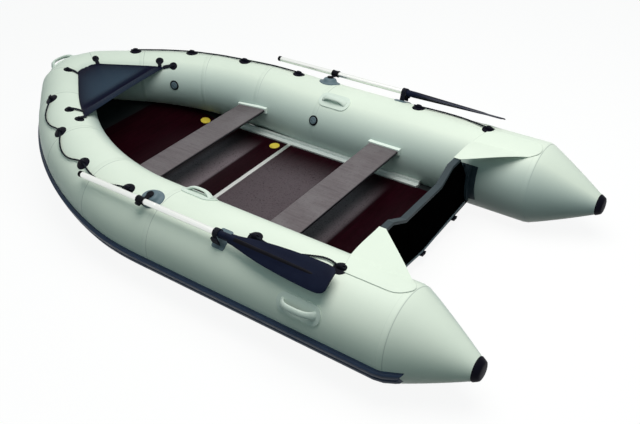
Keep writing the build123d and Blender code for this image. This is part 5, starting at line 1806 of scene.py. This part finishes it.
    def keeper(self) -> None:
        """Glued pads under the oars' necks and the straps buckled over them."""
        pad = Bench.plate("keeper_pads_moulded", rounded_box(0.072, 0.100, 0.012, 4), -0.003, 0.005, 0.002)
        Bench.grid_fill(pad, 4)
        Bench.wrap(pad, self.keeper_s, self.pad_angle)
        twin = Bench.mirrored(pad, "keeper_pads_twin")
        hand_over(Bench.join("keeper_pads_moulded", pad, twin), SLATE, Body.HULL, ["keeper_pads"])
        frame_here = self.on_axis() @ Matrix.Translation((self.keeper_s - self.lock_s, 0, 0))
        radius, foot = self.shaft_radius + self.strap_gap, self.strap_foot
        rings = []
        lean, steps = self.strap_lean, self.strap_steps
        path = [(-radius - lean, foot), (-radius - lean / 2, foot / 2), (-radius, -0.004)]
        path += [(-radius * cos(t), radius * sin(t)) for t in (pi * i / steps for i in range(1, steps))]
        path += [(radius, -0.004), (radius + lean / 2, foot / 2), (radius + lean, foot - self.strap_tail)]
        for i, (y, z) in enumerate(path):
            before, after = path[max(i - 1, 0)], path[min(i + 1, len(path) - 1)]
            along = Vector((0, after[0] - before[0], after[1] - before[1])).normalized()
            out = Vector((1, 0, 0)).cross(along)
            rings.append([Vector((x, y, z)) + out * h for x, h in self.band])
        strap = Bench.loft("keeper_strap_band", rings, Ends.FILLED)
        buckle = Bench.plate("keeper_buckle", rounded_box(0.040, 0.034, 0.006, 4), 0.0, 0.009, 0.003)
        turn = Matrix.Rotation(radians(-90), 4, "X")
        Bench.shift(buckle, Matrix.Translation((0, radius + 0.004, -0.020)) @ turn)
        strap = Bench.join("keeper_strap_band", strap, buckle)
        Bench.shift(strap, frame_here)
        port, starboard = hand_over_pair(strap, WEBBING, "keeper_strap", angle=45.0)
        out = frame_here.col[2].to_3d()
        for piece, joint, sign in ((port, "port_oar_sweep", 1), (starboard, "starboard_oar_sweep", -1)):
            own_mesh(piece)

    def build(self) -> None:
        """Both oars, their oarlocks and their keepers."""
        bodies = (Body.OAR_PORT, Body.OAR_STARBOARD)
        axis = self.on_axis()
        roll = axis @ Matrix.Rotation(radians(-self.blade_roll), 4, "X")
        hand_over_pair(Bench.shift(self.shaft(), axis), ALUMINIUM, "oar_shaft", bodies=bodies)
        hand_over_pair(Bench.shift(self.grip(), axis), BLACK_PLASTIC, "oar_grip", bodies=bodies)
        hand_over_pair(Bench.shift(self.blade(), roll), BLADE_PLASTIC, "oar_blade", angle=30.0, bodies=bodies)
        # black rib, partly painted shade along the blade's rib
        hand_over_pair(Bench.shift(self.spine(), roll), BLACK_PLASTIC, "", bodies=bodies)
        swivel = Bench.shift(self.swivel(), self.lock())
        hand_over_pair(swivel, BLACK_PLASTIC, "oarlock_swivel", bodies=bodies)
        hand_over_pair(Bench.wrap(self.base(), self.lock_s, self.lock_angle), SLATE, "oarlock_base")
        self.keeper()


@dataclass
class CadDress:
    """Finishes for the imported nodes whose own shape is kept."""

    finishes: dict[str, Finish] = field(default_factory=lambda: {
        "bottom_skin": SHADED_BOTTOM, "bottom_rails": BLACK_RUBBER, "transom_board": TRANSOM_PLY,
        "transom_edging": GREY_EDGE, "motor_pad_aft": TRANSOM_PLY, "motor_pad_fore": TRANSOM_PLY,
        "transom_holders": SHADED_SLATE, "floorboard_aft": FLOOR_PLY, "floorboard_mid": FLOOR_PLY,
        "floorboard_fore": FLOOR_PLY, "floorboard_bow": FLOOR_PLY, "floor_joiners": ALUMINIUM,
        "stringer_port": ANODISED, "stringer_starboard": ANODISED, "floor_plugs": YELLOW_PLASTIC,
        "seat_aft": SEAT_PLY, "seat_fore": SEAT_PLY, "seat_aft_brackets": WHITE_PLASTIC,
        "seat_fore_brackets": WHITE_PLASTIC, "tow_eye": BLACK_RUBBER,
    })

    def build(self) -> None:
        """Dress each kept node."""
        for node, finish in self.finishes.items():
            finish.dress(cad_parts[node])
            LOG.info("%s: packed shape kept", node)


@dataclass
class Studio:
    """Camera at the photograph's place, soft light and a pale floor."""

    eye: Point = (-2.49956, 2.7624, 2.5177)
    right: Point = (-0.8100, -0.5850, -0.0410)
    up: Point = (0.3091, -0.4853, 0.8180)
    lens: float = 44.09
    sensor: float = 36.0
    floor_size: float = 60.0
    floor_z: float = -0.002
    sky: Color = (0.70, 1.0, 1.02)
    sky_strength: float = 0.27
    lamp_color: Color = (1.0, 0.965, 0.925)
    lamp_place: Point = (-0.95, 0.00, 4.2)
    lamp_size: float = 3.6
    lamp_power: float = 163.0
    floor_glow: float = 0.91
    floor_shade: float = 0.10
    floor_dark: float = 0.08

    def camera(self) -> None:
        """Camera with the lens and place that fit the photograph."""
        data = bpy.data.cameras.new("camera")
        data.lens = self.lens
        data.sensor_width = self.sensor
        data.sensor_fit = "HORIZONTAL"
        right, up = Vector(self.right).normalized(), Vector(self.up)
        up = (up - right * up.dot(right)).normalized()
        matrix = Matrix((right, up, right.cross(up))).transposed().to_4x4()
        matrix.translation = self.eye
        obj = bpy.data.objects.new("camera", data)
        obj.matrix_world = matrix
        bpy.context.scene.collection.objects.link(obj)
        bpy.context.scene.camera = obj

    @staticmethod
    def seen(tree: Tree) -> Socket:
        """Mask of the rays that see the backdrop: the camera's and those off gloss or through clear stuff."""
        path = tree.nodes.new("ShaderNodeLightPath")
        mask = path.outputs["Is Camera Ray"]
        for label in ("Is Glossy Ray", "Is Transmission Ray"):
            either = tree.nodes.new("ShaderNodeMath")
            either.operation = "MAXIMUM"
            tree.links.new(mask, either.inputs[0])
            tree.links.new(path.outputs[label], either.inputs[1])
            mask = either.outputs[0]
        return mask

    def backdrop(self, tree: Tree, lighting: Node, shown: Node, output: str) -> None:
        """Show one shader to the rays that see the backdrop, and light the boat with another."""
        mix = tree.nodes.new("ShaderNodeMixShader")
        tree.links.new(self.seen(tree), mix.inputs[0])
        tree.links.new(lighting.outputs[0], mix.inputs[1])
        tree.links.new(shown.outputs[0], mix.inputs[2])
        tree.links.new(mix.outputs[0], tree.nodes[output].inputs["Surface"])

    def light(self) -> None:
        """One broad overhead lamp, a weak sky and a white backdrop."""
        data = bpy.data.lights.new("overhead", "AREA")
        data.shape = "DISK"
        data.size = self.lamp_size
        data.energy = self.lamp_power
        data.color = self.lamp_color
        obj = bpy.data.objects.new("overhead", data)
        obj.location = self.lamp_place
        bpy.context.scene.collection.objects.link(obj)
        world = bpy.data.worlds.new("sky")
        world.use_nodes = True
        tree = world.node_tree
        sky = tree.nodes["Background"]
        sky.inputs["Color"].default_value = (*self.sky, 1.0)
        sky.inputs["Strength"].default_value = self.sky_strength
        white = tree.nodes.new("ShaderNodeBackground")
        white.inputs["Color"].default_value = (1.0, 1.0, 1.0, 1.0)
        self.backdrop(tree, sky, white, "World Output")
        bpy.context.scene.world = world

    def floor(self) -> None:
        """Floor that shows white to the camera, keeps the boat's shadow and throws little light back."""
        Bench.clear()
        bpy.ops.mesh.primitive_circle_add(
            vertices=64, radius=self.floor_size / 2, fill_type="NGON", location=(0, 0, self.floor_z)
        )
        floor = bpy.context.object
        floor.name = "floor"
        graph = Graph("floor_pale")
        dark, shade = graph.node("ShaderNodeBsdfDiffuse"), graph.node("ShaderNodeBsdfDiffuse")
        for node, grey in ((dark, self.floor_dark), (shade, self.floor_shade)):
            node.inputs["Color"].default_value = (grey, grey, grey, 1.0)
        glow = graph.node("ShaderNodeEmission", strength=self.floor_glow)
        pale = graph.node("ShaderNodeAddShader")
        graph.link(shade.outputs[0], pale.inputs[0])
        graph.link(glow.outputs[0], pale.inputs[1])
        self.backdrop(graph.tree, dark, pale, "Material Output")
        floor.data.materials.append(graph.material)
        bpy.context.scene.view_settings.view_transform = "Standard"

    def build(self) -> None:
        """Set up the whole studio."""
        self.camera()
        self.light()
        self.floor()


def main() -> None:
    """Build every sub-assembly in order."""
    logging.basicConfig(level=logging.INFO, format="%(message)s")
    Bench.clear()
    Studio().build()
    for assembly in (
        Lifeline(), BuoyancyTube(), ConeCaps(), RubbingStrake(), Dodger(), Gusset(), TransomHem(), Handles(),
        Valves(), Oar(), CadDress(),
    ):
        LOG.info("building %s", type(assembly).__name__)
        assembly.build()
    Bench.clear()


if __name__ == "__main__":
    main()
